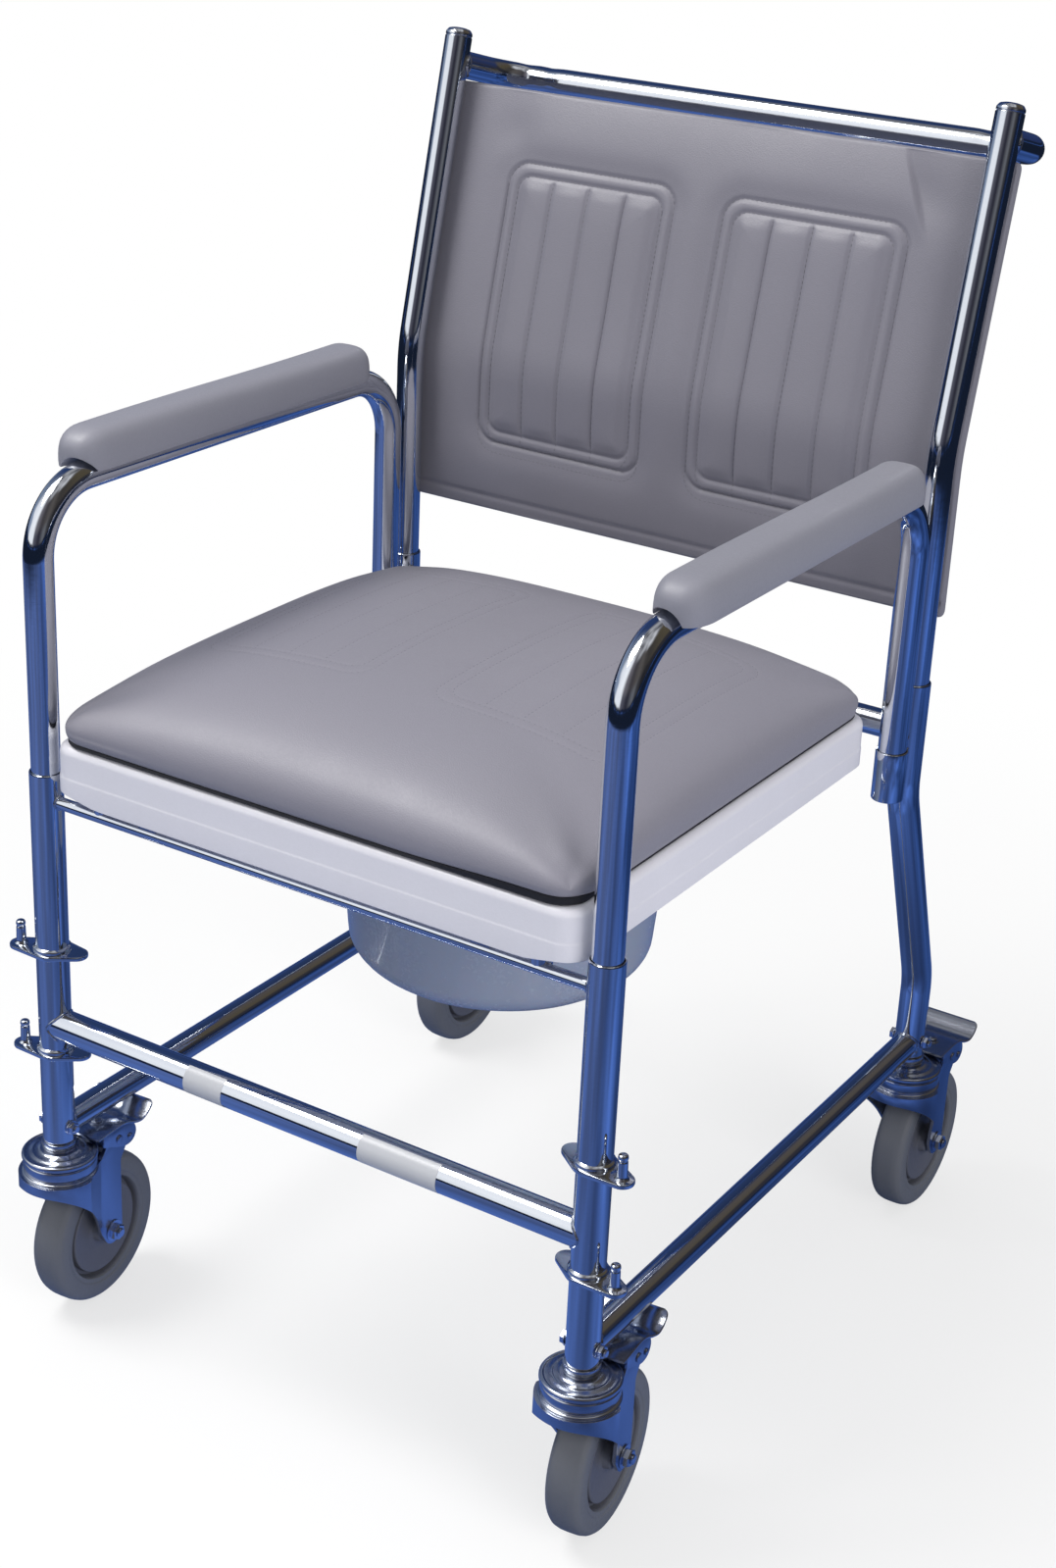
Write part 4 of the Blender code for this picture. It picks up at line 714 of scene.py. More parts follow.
class CHAIR_OT_tube_frame(bpy.types.Operator):
    """Build the legs, cross bars, rails, arm sockets and their welds"""
    bl_idname = "chair.tube_frame"
    bl_label = "Tube Frame"

    def execute(self, context):
        sizes = context.scene.chair_sizes
        for side, word in SIDES:
            for rear in (False, True):
                name = f"{'rear' if rear else 'front'}_leg_{word}"
                tube = solid(add_tube, path_frames(leg_path(side, rear)), sizes.leg_radius, sizes.tube_sides,
                             lip=0.0009, depth=0.010)
                part(name, "tube", tube, "chrome", "frame")
            x = side * LEG_X
            self.build_bar(f"bottom_rail_{word}", (x, 0, BOTTOM_RAIL_Z), (x, WHEELBASE, BOTTOM_RAIL_Z),
                           sizes.small_tube_radius, sizes)
            self.build_seat_rail(side, word, sizes)
            self.build_socket(side, word, sizes.leg_radius)
        for name, y, z, radius in (("lower_front_bar", 0, LOWER_BAR_Z, sizes.leg_radius - LOWER_BAR_THINNER),
                                   ("upper_front_rail", 0, FRONT_RAIL_Z, sizes.front_rail_radius),
                                   ("rear_crossbar", BACK_Y, CROSSBAR_Z, sizes.small_tube_radius)):
            self.build_bar(name, (-LEG_X, y, z), (LEG_X, y, z), radius, sizes)
        return {'FINISHED'}

    def build_bar(self, name, start, end, radius, sizes):
        """A coped bar with a welded joint at each end, as one piece and its beads."""
        start, end = Vector(start), Vector(end)
        bar = solid(add_coped_bar, start, end, radius, sizes.leg_radius - 0.0006, sizes.tube_sides)
        part(name, "tube", bar, "chrome", "frame")
        beads = bmesh.new()
        along = (end - start).normalized()
        add_weld(beads, start, along, radius, sizes.leg_radius, sizes.weld_size)
        add_weld(beads, end, -along, radius, sizes.leg_radius, sizes.weld_size)
        piece(name + "_welds", beads, "weld", "frame")

    def build_seat_rail(self, side, word, sizes):
        """A rail under the seat whose front end is bent down and welded on the upper front rail."""
        x = side * SEAT_RAIL_X
        set_back = 0.004
        height = 0.500
        corners = [(x, set_back, 0.4605), (x, set_back, height), (x, BACK_Y - 0.005, height)]
        frames = path_frames(rounded_path(corners, 0.018, 12))
        rail = solid(add_tube, frames, 0.008, sizes.tube_sides, depth=0.004)
        part(f"seat_rail_{word}", "tube", rail, "chrome", "frame")
        # The weld is an oval on the round top of the front rail
        half_x, half_y, middle_y = 0.0085, 0.0028, 0.0019
        foot = []
        for angle in turn_angles(40):
            y = middle_y + half_y * sin(angle)
            z = FRONT_RAIL_Z + (sizes.front_rail_radius ** 2 - y ** 2) ** 0.5
            foot.append(Vector((x + half_x * cos(angle), y, z)))
        piece(f"seat_rail_{word}_weld", solid(add_bead, foot, 0.0011), "weld", "frame")

    def build_socket(self, side, word, leg):
        """The sleeve that an arm's rear end stands in, and the web that joins it to the rear leg."""
        low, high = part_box(f"arm_socket_{word}")
        web_low, web_high = low.z + 0.004, high.z - 0.004
        x = side * LEG_X
        inner = leg - 0.0012
        section = [(inner, high.z), (leg, high.z), (leg, low.z), (inner, low.z), (inner, high.z)]
        axis = Matrix.Translation((x, ARM_REAR_Y, 0))
        work = bmesh.new()
        add_turned(work, eased(section, 0.0006)[:-1], 40, axis, closed=True)
        half = 0.005
        near = leg * 0.9
        far = BACK_Y - ARM_REAR_Y - near
        plan = [(-half, near), (half, near), (half, far), (-half, far)]
        work.from_mesh(bevelled(solid(add_prism, plan, web_low, web_high, axis), 0.0008))
        part(f"arm_socket_{word}", "sleeve", work, "chrome", "frame")
        beads = bmesh.new()
        for y, way in ((ARM_REAR_Y + leg * 0.93, 1), (BACK_Y - leg * 0.93, -1)):
            for offset in (-half, half):
                run = [Vector((x + offset, y + way * 0.0006, z)) for z in spread(web_low, web_high, 14)]
                add_bead(beads, run, 0.0013, closed=False)
        piece(f"arm_socket_{word}_welds", beads, "weld", "frame")


# Distances of a footrest bracket's outer lobe, with its pin, and inner lobe from the leg's axis
OUTER_LOBE = 0.0262
INNER_LOBE = 0.0200


def bracket_outline(inset):
    """Plan of a footrest bracket: a waist round the leg with a lobe to each side along X."""
    waist = 0.0165 - inset
    lobe = 0.009 - inset
    outer = degrees(acos((waist - lobe) / OUTER_LOBE))
    inner = degrees(acos((waist - lobe) / INNER_LOBE))
    points = arc(OUTER_LOBE, 0, lobe, -outer, outer, 14)
    points += arc(0, 0, waist, outer, 180 - inner, 8)
    points += arc(-INNER_LOBE, 0, lobe, 180 - inner, 180 + inner, 14)
    return points + arc(0, 0, waist, 180 + inner, 360 - outer, 8)


class CHAIR_OT_footrest_brackets(bpy.types.Operator):
    """Build the eye-shaped plates with their upright pins on the front legs"""
    bl_idname = "chair.footrest_brackets"
    bl_label = "Footrest Brackets"

    def execute(self, context):
        leg = context.scene.chair_sizes.leg_radius
        thick = 0.0035
        collar = eased([(leg, -0.0014), (0.0146, -0.0014), (0.0146, 0.0062), (leg, 0.0076)], 0.0007)
        tip = thick + 0.0195
        pin = eased([(0.0056, thick - 0.0004), (0.0039, thick + 0.0018), (0.0036, tip - 0.0062),
                     (0.0030, tip - 0.0050), (0.0038, tip - 0.0036), (0.0034, tip - 0.0008), (0.0, tip)],
                    0.0012)
        for side, word in SIDES:
            turn = pi + radians(15) if side < 0 else -radians(15)
            for level in ("lower", "upper"):
                name = f"footrest_bracket_{level}_{word}"
                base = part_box(name)[0].z + 0.4 * thick
                place = Matrix.Translation((side * LEG_X, 0, base)) @ Matrix.Rotation(turn, 4, 'Z')
                work = bmesh.new()
                self.add_plate(work, thick)
                add_turned(work, collar, 40)
                add_turned(work, pin, 20, Matrix.Translation((OUTER_LOBE, 0, 0)))
                part(name, "plate", work, "chrome", "frame", place)
        return {'FINISHED'}

    def add_plate(self, work, thick):
        """The flat plate with its round edge, from pairs of inset and height."""
        edge = 0.0008
        levels = ((edge, 0.0), (edge * 0.3, edge * 0.3), (0.0, edge),
                  (0.0, thick - edge), (edge * 0.3, thick - edge * 0.3), (edge, thick))
        add_skin(work, [[Vector((x, y, height)) for x, y in bracket_outline(inset)]
                        for inset, height in levels])


# Arm rests

def arm_path(side):
    """Centre line of an arm: up out of the front leg, back, and down into its socket."""
    x = side * LEG_X
    front_end, rear_end = FRONT_LEG_TOP_Z - 0.055, 0.444
    return rounded_path([(x, 0, front_end), (x, 0, ARM_Z), (x, ARM_REAR_Y, ARM_Z),
                         (x, ARM_REAR_Y, rear_end)], 0.052, 22)


def add_pad_body(work, low, high):
    """A moulded pad inside a box: soft top corners, a full round nose, and a flat underside."""
    length = high.y - low.y
    nose, tail = 0.024, 0.020
    # Pairs of distance from the front and share of the rounding at the ends
    stations = [(nose * (1 - cos(pi / 2 * share)), 1 - share) for share in spread(0, 1, 10)]
    stations += [(y, 0.0) for y in spread(nose, length - tail, 24)[1:-1]]
    stations += [(length - tail * (1 - sin(pi / 2 * share)), share) for share in spread(0, 1, 10)]
    middle = (low.x + high.x) / 2
    loops = []
    for y, end in stations:
        fullness = cos(pi / 2 * end) ** 0.8 if end < 1 else 0.0
        width = (high.x - low.x) / 2 * (0.18 + 0.82 * fullness)
        rise = 0.001 + (high.z - low.z - 0.004) * (0.30 + 0.70 * fullness)
        rise += 0.0006 * sin(2 * pi * y / length)
        section = [(-0.97, 0.0), (0.97, 0.0)]
        for angle in spread(0, pi, 24):
            across = abs(cos(angle)) ** 0.62 * (1 if cos(angle) > 0 else -1)
            section.append((across, 0.003 + rise * abs(sin(angle)) ** 0.66))
        loops.append([Vector((middle + width * across, low.y + y, low.z + height))
                      for across, height in section])
    add_skin(work, loops)


class CHAIR_OT_arm_rests(bpy.types.Operator):
    """Build the hooped arm tubes and their moulded pads"""
    bl_idname = "chair.arm_rests"
    bl_label = "Arm Rests"

    def execute(self, context):
        sizes = context.scene.chair_sizes
        radius = sizes.small_tube_radius
        for side, word in SIDES:
            body = f"arm_{word}"
            frames = path_frames(arm_path(side))
            tube = solid(add_tube, frames, radius, sizes.tube_sides)
            part(f"arm_tube_{word}", "hoop", tube, "chrome", body)
            channel = [circle(place, radius + 0.0010 + 0.0042 * self.opening(place), 32) for place in frames]
            pad = solid(add_pad_body, *chair_box(f"arm_pad_{word}"))
            pad = bevelled(combine(pad, solid(add_skin, channel), 'DIFFERENCE'), 0.0009, 3, 40)
            made = part(f"arm_pad_{word}", "moulding", pad, "arm foam", body, sharp=50)
        return {'FINISHED'}

    def opening(self, place):
        """How far the channel under a pad is opened up at a place on the tube, from 0 to 1."""
        return 1 - smooth(0.036, 0.060, place.translation.y)


# Back frame

def upright_frame(length):
    """The frame of an upright's centre line in the plane X = 0, at a length up from the floor."""
    bend_start = BACK_BEND_Z - BACK_BEND_R * tan(BACK_RAKE / 2)
    angle = min(max((length - bend_start) / BACK_BEND_R, 0.0), BACK_RAKE)
    rest = max(length - bend_start - BACK_BEND_R * BACK_RAKE, 0.0)
    y = BACK_Y + BACK_BEND_R * (1 - cos(angle)) + rest * sin(BACK_RAKE)
    z = min(length, bend_start) + BACK_BEND_R * sin(angle) + rest * cos(BACK_RAKE)
    return Matrix.Translation((0, y, z)) @ Matrix.Rotation(-angle, 4, 'X')


class CHAIR_OT_back_tubes(bpy.types.Operator):
    """Build the two uprights and the push handle"""
    bl_idname = "chair.back_tubes"
    bl_label = "Back Tubes"

    def execute(self, context):
        sizes = context.scene.chair_sizes
        for side, word in SIDES:
            self.build_upright(side, word, sizes)
        self.build_handle(sizes)
        return {'FINISHED'}

    def build_upright(self, side, word, sizes):
        """An upright with its plugged top, hollow at the foot."""
        radius = sizes.small_tube_radius
        sides = sizes.tube_sides
        shift = Matrix.Translation((side * LEG_X, 0, 0))
        # The rings stand closer together through the bend
        lengths = [REAR_LEG_TOP_Z - 0.057, 0.60, 0.65] + [0.69 + 0.004 * k for k in range(12)]
        lengths += [0.78, 0.86, UPRIGHT_LENGTH - 0.0075]
        frames = [shift @ upright_frame(length) for length in lengths]
        loops = [circle(place, radius - 0.0012, sides) for place in (frames[0] @ up(0.01), frames[0])]
        loops += [circle(place, radius, sides) for place in frames]
        cap = eased([(radius, 0.0), (radius - 0.0006, 0.0004), (radius - 0.0006, 0.0009),
                     (radius - 0.0001, 0.0013), (radius - 0.0001, 0.0034), (radius * 0.80, 0.0063),
                     (radius * 0.42, 0.0073), (0.0, 0.0075)], 0.0010)
        loops += [circle(frames[-1] @ up(height), size, sides) for size, height in cap[1:]]
        part(f"back_upright_{word}", "tube", solid(add_skin, loops), "chrome", "back_frame")

    def build_handle(self, sizes):
        """Push handle, pinched a little where its corners were bent."""
        radius = sizes.small_tube_radius
        place = upright_frame(HANDLE_LENGTH)
        inset = radius * 0.75
        reach = 0.081
        corners = [place @ Vector((x, y, 0)) for x, y in
                   ((LEG_X, inset), (LEG_X, reach), (-LEG_X, reach), (-LEG_X, inset))]
        points = rounded_path(corners, 0.035, 28)
        dense = []
        for before, after in zip(points, points[1:]):
            steps = max(int((after - before).length / 0.004), 1)
            dense += [before.lerp(after, step / steps) for step in range(steps)]
        dense.append(points[-1])
        pinches = [place @ Vector((side * x, reach, 0)) for side, _ in SIDES for x in (0.222, 0.198)]
        radii = [radius * (1 - sum(0.055 * groove((point - pinch).length, 0.0068) for pinch in pinches))
                 for point in dense]
        tube = solid(add_tube, path_frames(dense), radius, sizes.tube_sides, radii=radii, depth=0.003)
        part("push_handle", "tube", tube, "chrome", "back_frame")
        beads = bmesh.new()
        for side, _ in SIDES:
            ring = []
            for angle in turn_angles(48):
                across = radius * cos(angle)
                depth = max(radius ** 2 - across ** 2, 0) ** 0.5
                ring.append(place @ Vector((side * LEG_X + across, max(depth, 0.002), radius * sin(angle))))
            add_bead(beads, ring, sizes.weld_size)
        piece("push_handle_welds", beads, "weld", "back_frame")


# Sewn fields and padding

def round_rectangle(x, y, half_x, half_y, corner):
    """Signed distance to a rectangle with round corners, negative inside."""
    over_x = abs(x) - half_x + corner
    over_y = abs(y) - half_y + corner
    return hypot(max(over_x, 0), max(over_y, 0)) + min(max(over_x, over_y), 0) - corner


def groove(distance, width):
    """1 on a line, falling off to 0 beside it."""
    return exp(-(distance / width) ** 2)


def smooth(low, high, value):
    """0 up to low and 1 from high on, with a soft step between them."""
    t = min(max((value - low) / (high - low), 0.0), 1.0)
    return t * t * (3 - 2 * t)


class SewnField:
    """A sewn rectangle of upright ribs inside a double border."""
    corner = 0.018
    border = 0.010
    ribs = 4

    def __init__(self, middle_x, middle_y, half_x, half_y):
        self.middle = (middle_x, middle_y)
        self.half = (half_x, half_y)

    def distances(self, x, y):
        """The place across the field, and signed distances to its outer and inner seam."""
        x -= self.middle[0]
        y -= self.middle[1]
        outer = round_rectangle(x, y, *self.half, self.corner)
        inner_half = [half - self.border for half in self.half]
        inner = round_rectangle(x, y, *inner_half, self.corner * 0.7)
        return x, outer, inner

    def height(self, x, y, depth, rise):
        """How far the cover stands out at a point, negative in the seams."""
        x, outer, inner = self.distances(x, y)
        if outer > 0.012:
            return 0.0
        wide = 0.0016
        out = -depth * groove(outer, wide) - depth * 0.85 * groove(inner, wide)
        if outer < 0 < inner:
            out += rise * 0.45 * sin(pi * min(-outer / self.border, 1.0))
        if inner < 0:
            pitch = 2 * (self.half[0] - self.border) / self.ribs
            phase = (x + self.half[0] - self.border) / pitch
            beside = abs(phase - round(phase)) * pitch
            crest = 1 - abs(2 * (phase % 1.0) - 1) ** 2.4
            fade = smooth(0.0, 0.012, -inner)
            out += rise * crest * fade
            if 0.5 < phase < self.ribs - 0.5:
                out -= depth * 0.75 * groove(beside, wide * 0.75) * smooth(0.001, 0.004, -inner)
        return out

    def seams(self):
        """The sewn lines, as 2D points from the field's middle."""
        inner_x, inner_y = self.half[0] - self.border, self.half[1] - self.border
        lines = []
        for half_x, half_y, corner in ((*self.half, self.corner), (inner_x, inner_y, self.corner * 0.7)):
            outline = rounded_outline(half_x, -half_y, half_y, corner, 16, 40)
            lines.append([Vector(point) for point in outline + outline[:1]])
        height = inner_y - 0.002
        for x in spread(-inner_x, inner_x, self.ribs)[1:-1]:
            lines.append([Vector((x, -height)), Vector((x, height))])
        return lines

    def stitches(self, pitch):
        """Places of the stitches as pairs of 2D ends."""
        found = []
        for line in self.seams():
            travelled = 0.0
            following = pitch / 2
            for start, end in zip(line, line[1:]):
                length = (end - start).length
                while length and following <= travelled + length:
                    centre = start.lerp(end, (following - travelled) / length) + Vector(self.middle)
                    reach = (end - start).normalized() * pitch * 0.33
                    found.append((centre - reach, centre + reach))
                    following += pitch
                travelled += length
        return found


def paired_fields(inner_x, outer_x, low_y, high_y):
    """Two sewn fields side by side, from their distances to the middle and their lower and upper ends."""
    half_x = (outer_x - inner_x) / 2
    half_y = (high_y - low_y) / 2
    return [SewnField(side * (inner_x + half_x), (low_y + high_y) / 2, half_x, half_y) for side, _ in SIDES]


# What each point of a cover keeps: its place on the face, and the number of its loop round the edge
COVER_PLACE = ("across", "along", "side")


def padded_shell(across_lines, along_lines, front_point, rings=()):
    """A gridded cover and the loops round its edge. Each point's place on the cover is kept with it."""
    work = bmesh.new()
    layers = [work.verts.layers.float.new(name) for name in COVER_PLACE]

    def vertex(point, *values):
        made = work.verts.new(point)
        for layer, value in zip(layers, values):
            made[layer] = value
        return made

    places = [[(across, along) for across in across_lines] for along in along_lines]
    grid = [[vertex(front_point(*place), *place, 0.0) for place in row] for row in places]
    add_grid(work, grid)
    edge = grid_rim(grid)
    for order, move in enumerate(rings):
        loop = [vertex(move(*place), *place, order + 1.0) for place in grid_rim(places)]
        bridge(work, edge, loop)
        edge = loop
    return to_mesh(work)


def cover_places(mesh):
    """The kept values of each point of a cover."""
    return list(zip(*([item.value for item in mesh.attributes[name].data] for name in COVER_PLACE)))


def calmed(mesh, moves, rounds):
    """Moves averaged with their neighbours' moves, which keeps a broad swell and drops sharp wrinkles."""
    beside = [[] for _ in moves]
    for edge in mesh.edges:
        first, second = edge.vertices
        beside[first].append(second)
        beside[second].append(first)
    for _ in range(rounds):
        moves = [(move + sum((moves[other] for other in others), Vector())) / (1 + len(others))
                 for move, others in zip(moves, beside)]
    return moves


# Blender's cloth settings for vinyl over foam, swollen by a pressure inside
CLOTH = {"quality": 5, "mass": 0.25, "tension_stiffness": 25, "compression_stiffness": 25,
         "shear_stiffness": 10, "bending_stiffness": 0.6, "use_pressure": True,
         "uniform_pressure_force": 4.0, "vertex_group_mass": "held"}
CLOTH_FRAMES = 20


def inflated(mesh, held, cap, calm):
    """The mesh swollen by Blender's cloth under pressure, held where the weights say, moved at most cap."""
    if cap <= 0:
        return mesh
    carrier = linked("carrier", mesh)
    group = carrier.vertex_groups.new(name="held")
    for index, weight in enumerate(held):
        if weight > 0:
            group.add([index], weight, 'REPLACE')
    cloth = carrier.modifiers.new("cloth", 'CLOTH')
    for name, value in CLOTH.items():
        setattr(cloth.settings, name, value)
    cloth.settings.effector_weights.gravity = 0
    cloth.collision_settings.use_collision = False
    cloth.collision_settings.use_self_collision = False
    cloth.point_cache.frame_start = 1
    cloth.point_cache.frame_end = CLOTH_FRAMES
    scene = bpy.context.scene
    for number in range(1, CLOTH_FRAMES + 1):
        scene.frame_set(number)
    swollen = outcome(carrier)
    moves = []
    for before, after in zip(mesh.vertices, swollen.vertices):
        move = after.co - before.co
        moves.append(move.normalized() * cap if move.length > cap else move)
    for before, after, move in zip(mesh.vertices, swollen.vertices, calmed(mesh, moves, calm)):
        after.co = before.co + move
    scene.frame_set(1)
    bpy.data.objects.remove(carrier, do_unlink=True)
    return swollen


def refined(mesh, levels):
    """A copy with each face split into four and smoothed, level by level."""
    return with_modifier(mesh, 'SUBSURF', levels=levels, render_levels=levels,
                         boundary_smooth='PRESERVE_CORNERS')


def raise_cover(mesh, height):
    """Moves each point of the cover along its normal by height(across, along), fading at the sides."""
    normals = [vertex.normal.copy() for vertex in mesh.vertices]
    for vertex, normal, (across, along, side) in zip(mesh.vertices, normals, cover_places(mesh)):
        share = 1 - smooth(0.0, 1.2, side)
        if share > 0:
            vertex.co += normal * height(across, along) * share


def add_stitches(work, cover, fields, pitch, ray_start, way, lift, size):
    """Thread stitches along the fields' seams, laid on the cover where rays meet it."""
    finder = linked("finder", cover.data)
    bpy.context.view_layer.update()
    for field in fields:
        for stitch in field.stitches(pitch):
            start, end = [ray_start(point) for point in stitch]
            points = []
            for origin in (start, (start + end) / 2, end):
                hit, spot, normal, _ = finder.ray_cast(origin, way)
                if hit:
                    points.append(spot + normal * lift)
            if len(points) == 3:
                radii = (size * 0.45, size, size * 0.45)
                rings = zip(path_frames(points), radii)
                add_skin(work, [circle(place, radius, 6) for place, radius in rings])
    bpy.data.objects.remove(finder, do_unlink=True)


# Back panel

class CHAIR_OT_back_panel(bpy.types.Operator):
    """Build the padded back panel with its two sewn fields, and its rear cover"""
    bl_idname = "chair.back_panel"
    bl_label = "Back Panel"

    def execute(self, context):
        sizes = context.scene.chair_sizes
        face = sizes.small_tube_radius + 0.0014
        rim = 0.003
        edge_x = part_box("back_panel")[1].x - rim
        low, high = PANEL_LOW + rim, PANEL_HIGH - rim
        middle = (low + high) / 2
        crown_half = 0.228

        def front_point(across, along):
            share_x = min(abs(across) / crown_half, 1.0)
            share_z = min(abs(along - middle) / (high - middle), 1.0)
            crown = sizes.panel_crown * (1 - share_x ** 4) * (1 - share_z ** 6)
            return upright_frame(along) @ Vector((across, face - crown, 0))

        def ring(outward, depth):
            def move(across, along):
                if abs(abs(across) - edge_x) < 1e-6:
                    across += outward * (1 if across > 0 else -1)
                if abs(along - low) < 1e-6:
                    along -= outward
                if abs(along - high) < 1e-6:
                    along += outward
                return upright_frame(along) @ Vector((across, face + depth, 0))
            return move

        rings = [ring(0.0011, 0.0004), ring(0.0021, 0.0013), ring(0.0028, 0.0026), ring(rim, 0.0045),
                 ring(0.0027, 0.0066), ring(0.0018, 0.0082), ring(0.0, 0.0092), ring(-0.006, 0.0094)]
        across_lines, along_lines = even_lines(-edge_x, edge_x, 0.006), even_lines(low, high, 0.006)
        shell = padded_shell(across_lines, along_lines, front_point, rings)
        fields = paired_fields(0.022, 0.179, 0.643, 0.876)
        held = []
        for x, y, order in cover_places(shell):
            inside = min(field.distances(x, y)[1] for field in fields)
            beside = abs(x) > LEG_X - sizes.small_tube_radius - 0.004
            held.append(1.0 if order > 0 or beside else 0.95 * (1 - smooth(-0.006, 0.004, inside)))
        shell = refined(inflated(shell, held, sizes.panel_swell, 1), 2)
        raise_cover(shell, self.cover_height(fields, sizes))
        # The cover's darker vinyl is painted shade, the same vinyl as the cushion's
        made = part("back_panel", "cover", shell, "shaded panel vinyl", "back_frame", sharp=70)
        self.build_rear(face, edge_x, low, high)

        def ray_start(point):
            return upright_frame(point.y) @ Vector((point.x, face - 0.04, 0))

        inward = upright_frame(fields[0].middle[1]).to_3x3() @ Vector((0, 1, 0))
        stitches = solid(add_stitches, made, fields, 0.0042, ray_start, inward, -0.0001, 0.00042)
        piece("back_panel_stitches", stitches, "thread", "back_frame")
        return {'FINISHED'}

    def cover_height(self, fields, sizes):
        """How far the panel's cover stands out at a place: its fields, hem seam, slack and dents."""
        def height(x, along):
            out = sum(field.height(x, along, sizes.panel_seam_depth, sizes.rib_rise) for field in fields)
            nearest = min(field.distances(x, along)[1] for field in fields)
            out -= sizes.panel_valley * groove(nearest, 0.013 if nearest > 0 else 0.02)
            out -= 0.0012 * groove(along - PANEL_LOW - 0.0125, 0.0022)
            out += 0.0007 * noise.noise(Vector((x * 14, along * 14, 3.1)))
            # A pulled dent above the left field's outer corner, and a softer one beside its lower half
            out -= 0.0022 * groove(x + 0.178, 0.020) * groove(along - 0.898, 0.020)
            out -= 0.0016 * groove(x + 0.206, 0.016) * groove(along - 0.70, 0.05)
            # A sharp crease beside the right field's upper corner
            beyond = x - 0.165 - 0.47 * (0.925 - along)
            crease = smooth(-0.0020, 0.0035, beyond) * groove(max(beyond, 0), 0.030)
            out -= 0.0042 * crease * groove(along - 0.900, 0.024)
            return out
        return height

    def build_rear(self, face, edge_x, low, high):
        """Flat rear cover with a seam sewn round inside its edge."""
        def rear_point(x, along):
            wave = noise.noise(Vector((x * 18, along * 18, 9.7)))
            return upright_frame(along) @ Vector((x, face + 0.0093 + 0.0004 * wave, 0))

        cover = padded_shell(even_lines(-edge_x, edge_x, 0.02), even_lines(low, high, 0.012), rear_point)
        piece("back_panel_rear", refined(cover, 1), "back vinyl", "back_frame")
        inset = 0.012
        outline = rounded_outline(edge_x - inset, low + inset, high - inset, 0.006, 4, 40)
        points = [upright_frame(y) @ Vector((x, face + 0.0096, 0)) for x, y in outline]
        piece("back_panel_rear_seam", solid(add_bead, points, 0.0010, 6), "thread", "back_frame")


# Seat

class CHAIR_OT_commode_seat(bpy.types.Operator):
    """Build the moulded seat with its skirt and oval opening"""
    bl_idname = "chair.commode_seat"
    bl_label = "Commode Seat"

    def execute(self, context):
        low, high = chair_box("commode_seat")
        skirt, top = low.z, high.z
        under = top - 0.0035
        step = 0.4885
        shoulder = 0.0068
        lip = 0.004
        middle_y = (low.y + high.y) / 2
        opening_x, opening_y = 0.108, 0.130

        def outline(inset, height, hem=0.0):
            points = rounded_outline(high.x - inset, low.y + inset, high.y - inset, 0.018 - inset, 14, 40)
            return [Vector((x, y, height + hem * self.hem_drop(high.x - abs(x), y - low.y)))
                    for x, y in points]

        def oval(outward, height):
            half_x, half_y = opening_x + outward, opening_y + outward
            points = []
            for point in outline(0, height):
                angle = atan2((point.y - middle_y) / half_y, point.x / half_x)
                points.append(Vector((half_x * cos(angle), PAN_Y + half_y * sin(angle), height)))
            return points

        loops = [outline(0.0006, skirt, 1), outline(0.0, skirt + 0.0007, 1), outline(0.0, step - 0.0012),
                 outline(0.0001, step - 0.0004), outline(0.0004, step + 0.0004),
                 outline(0.0005, step + 0.0012)]
        for angle in spread(0, pi / 2, 8):
            loops.append(outline(0.0005 + shoulder * (1 - cos(angle)), top - shoulder * (1 - sin(angle))))
        for angle in spread(0, pi / 2, 6):
            loops.append(oval(lip * (1 - sin(angle)), top - lip * (1 - cos(angle))))
        loops += [oval(0, top - 0.013), oval(0.0006, top - 0.014), oval(0.0035, top - 0.014),
                  oval(0.0035, under), outline(0.0045, under), outline(0.0040, skirt + 0.0004, 1),
                  outline(0.0034, skirt, 1)]
        part("commode_seat", "moulding", solid(add_skin, loops, closed=True), "seat plastic", "frame")
        return {'FINISHED'}

    def hem_drop(self, from_side, from_front):
        """How far the skirt's hem lies above its level: lower along the front, higher at its corners."""
        along_front = 1 - smooth(0.004, 0.030, from_front)
        corner = 1 - smooth(0.010, 0.045, from_side)
        return along_front * (0.0016 * corner - 0.0034 * (1 - corner))


def corner_pull(across, along, half_across, half_along, radius):
    """Moves a point of a rectangle so that the rectangle's corners become round."""
    over_x = (abs(across) - (half_across - radius)) / radius
    over_y = (abs(along) - (half_along - radius)) / radius
    if over_x <= 0 or over_y <= 0:
        return across, along
    reach = max(over_x, over_y) / hypot(over_x, over_y) * radius
    new_x = half_across - radius + over_x * reach
    new_y = half_along - radius + over_y * reach
    return (new_x if across > 0 else -new_x), (new_y if along > 0 else -new_y)


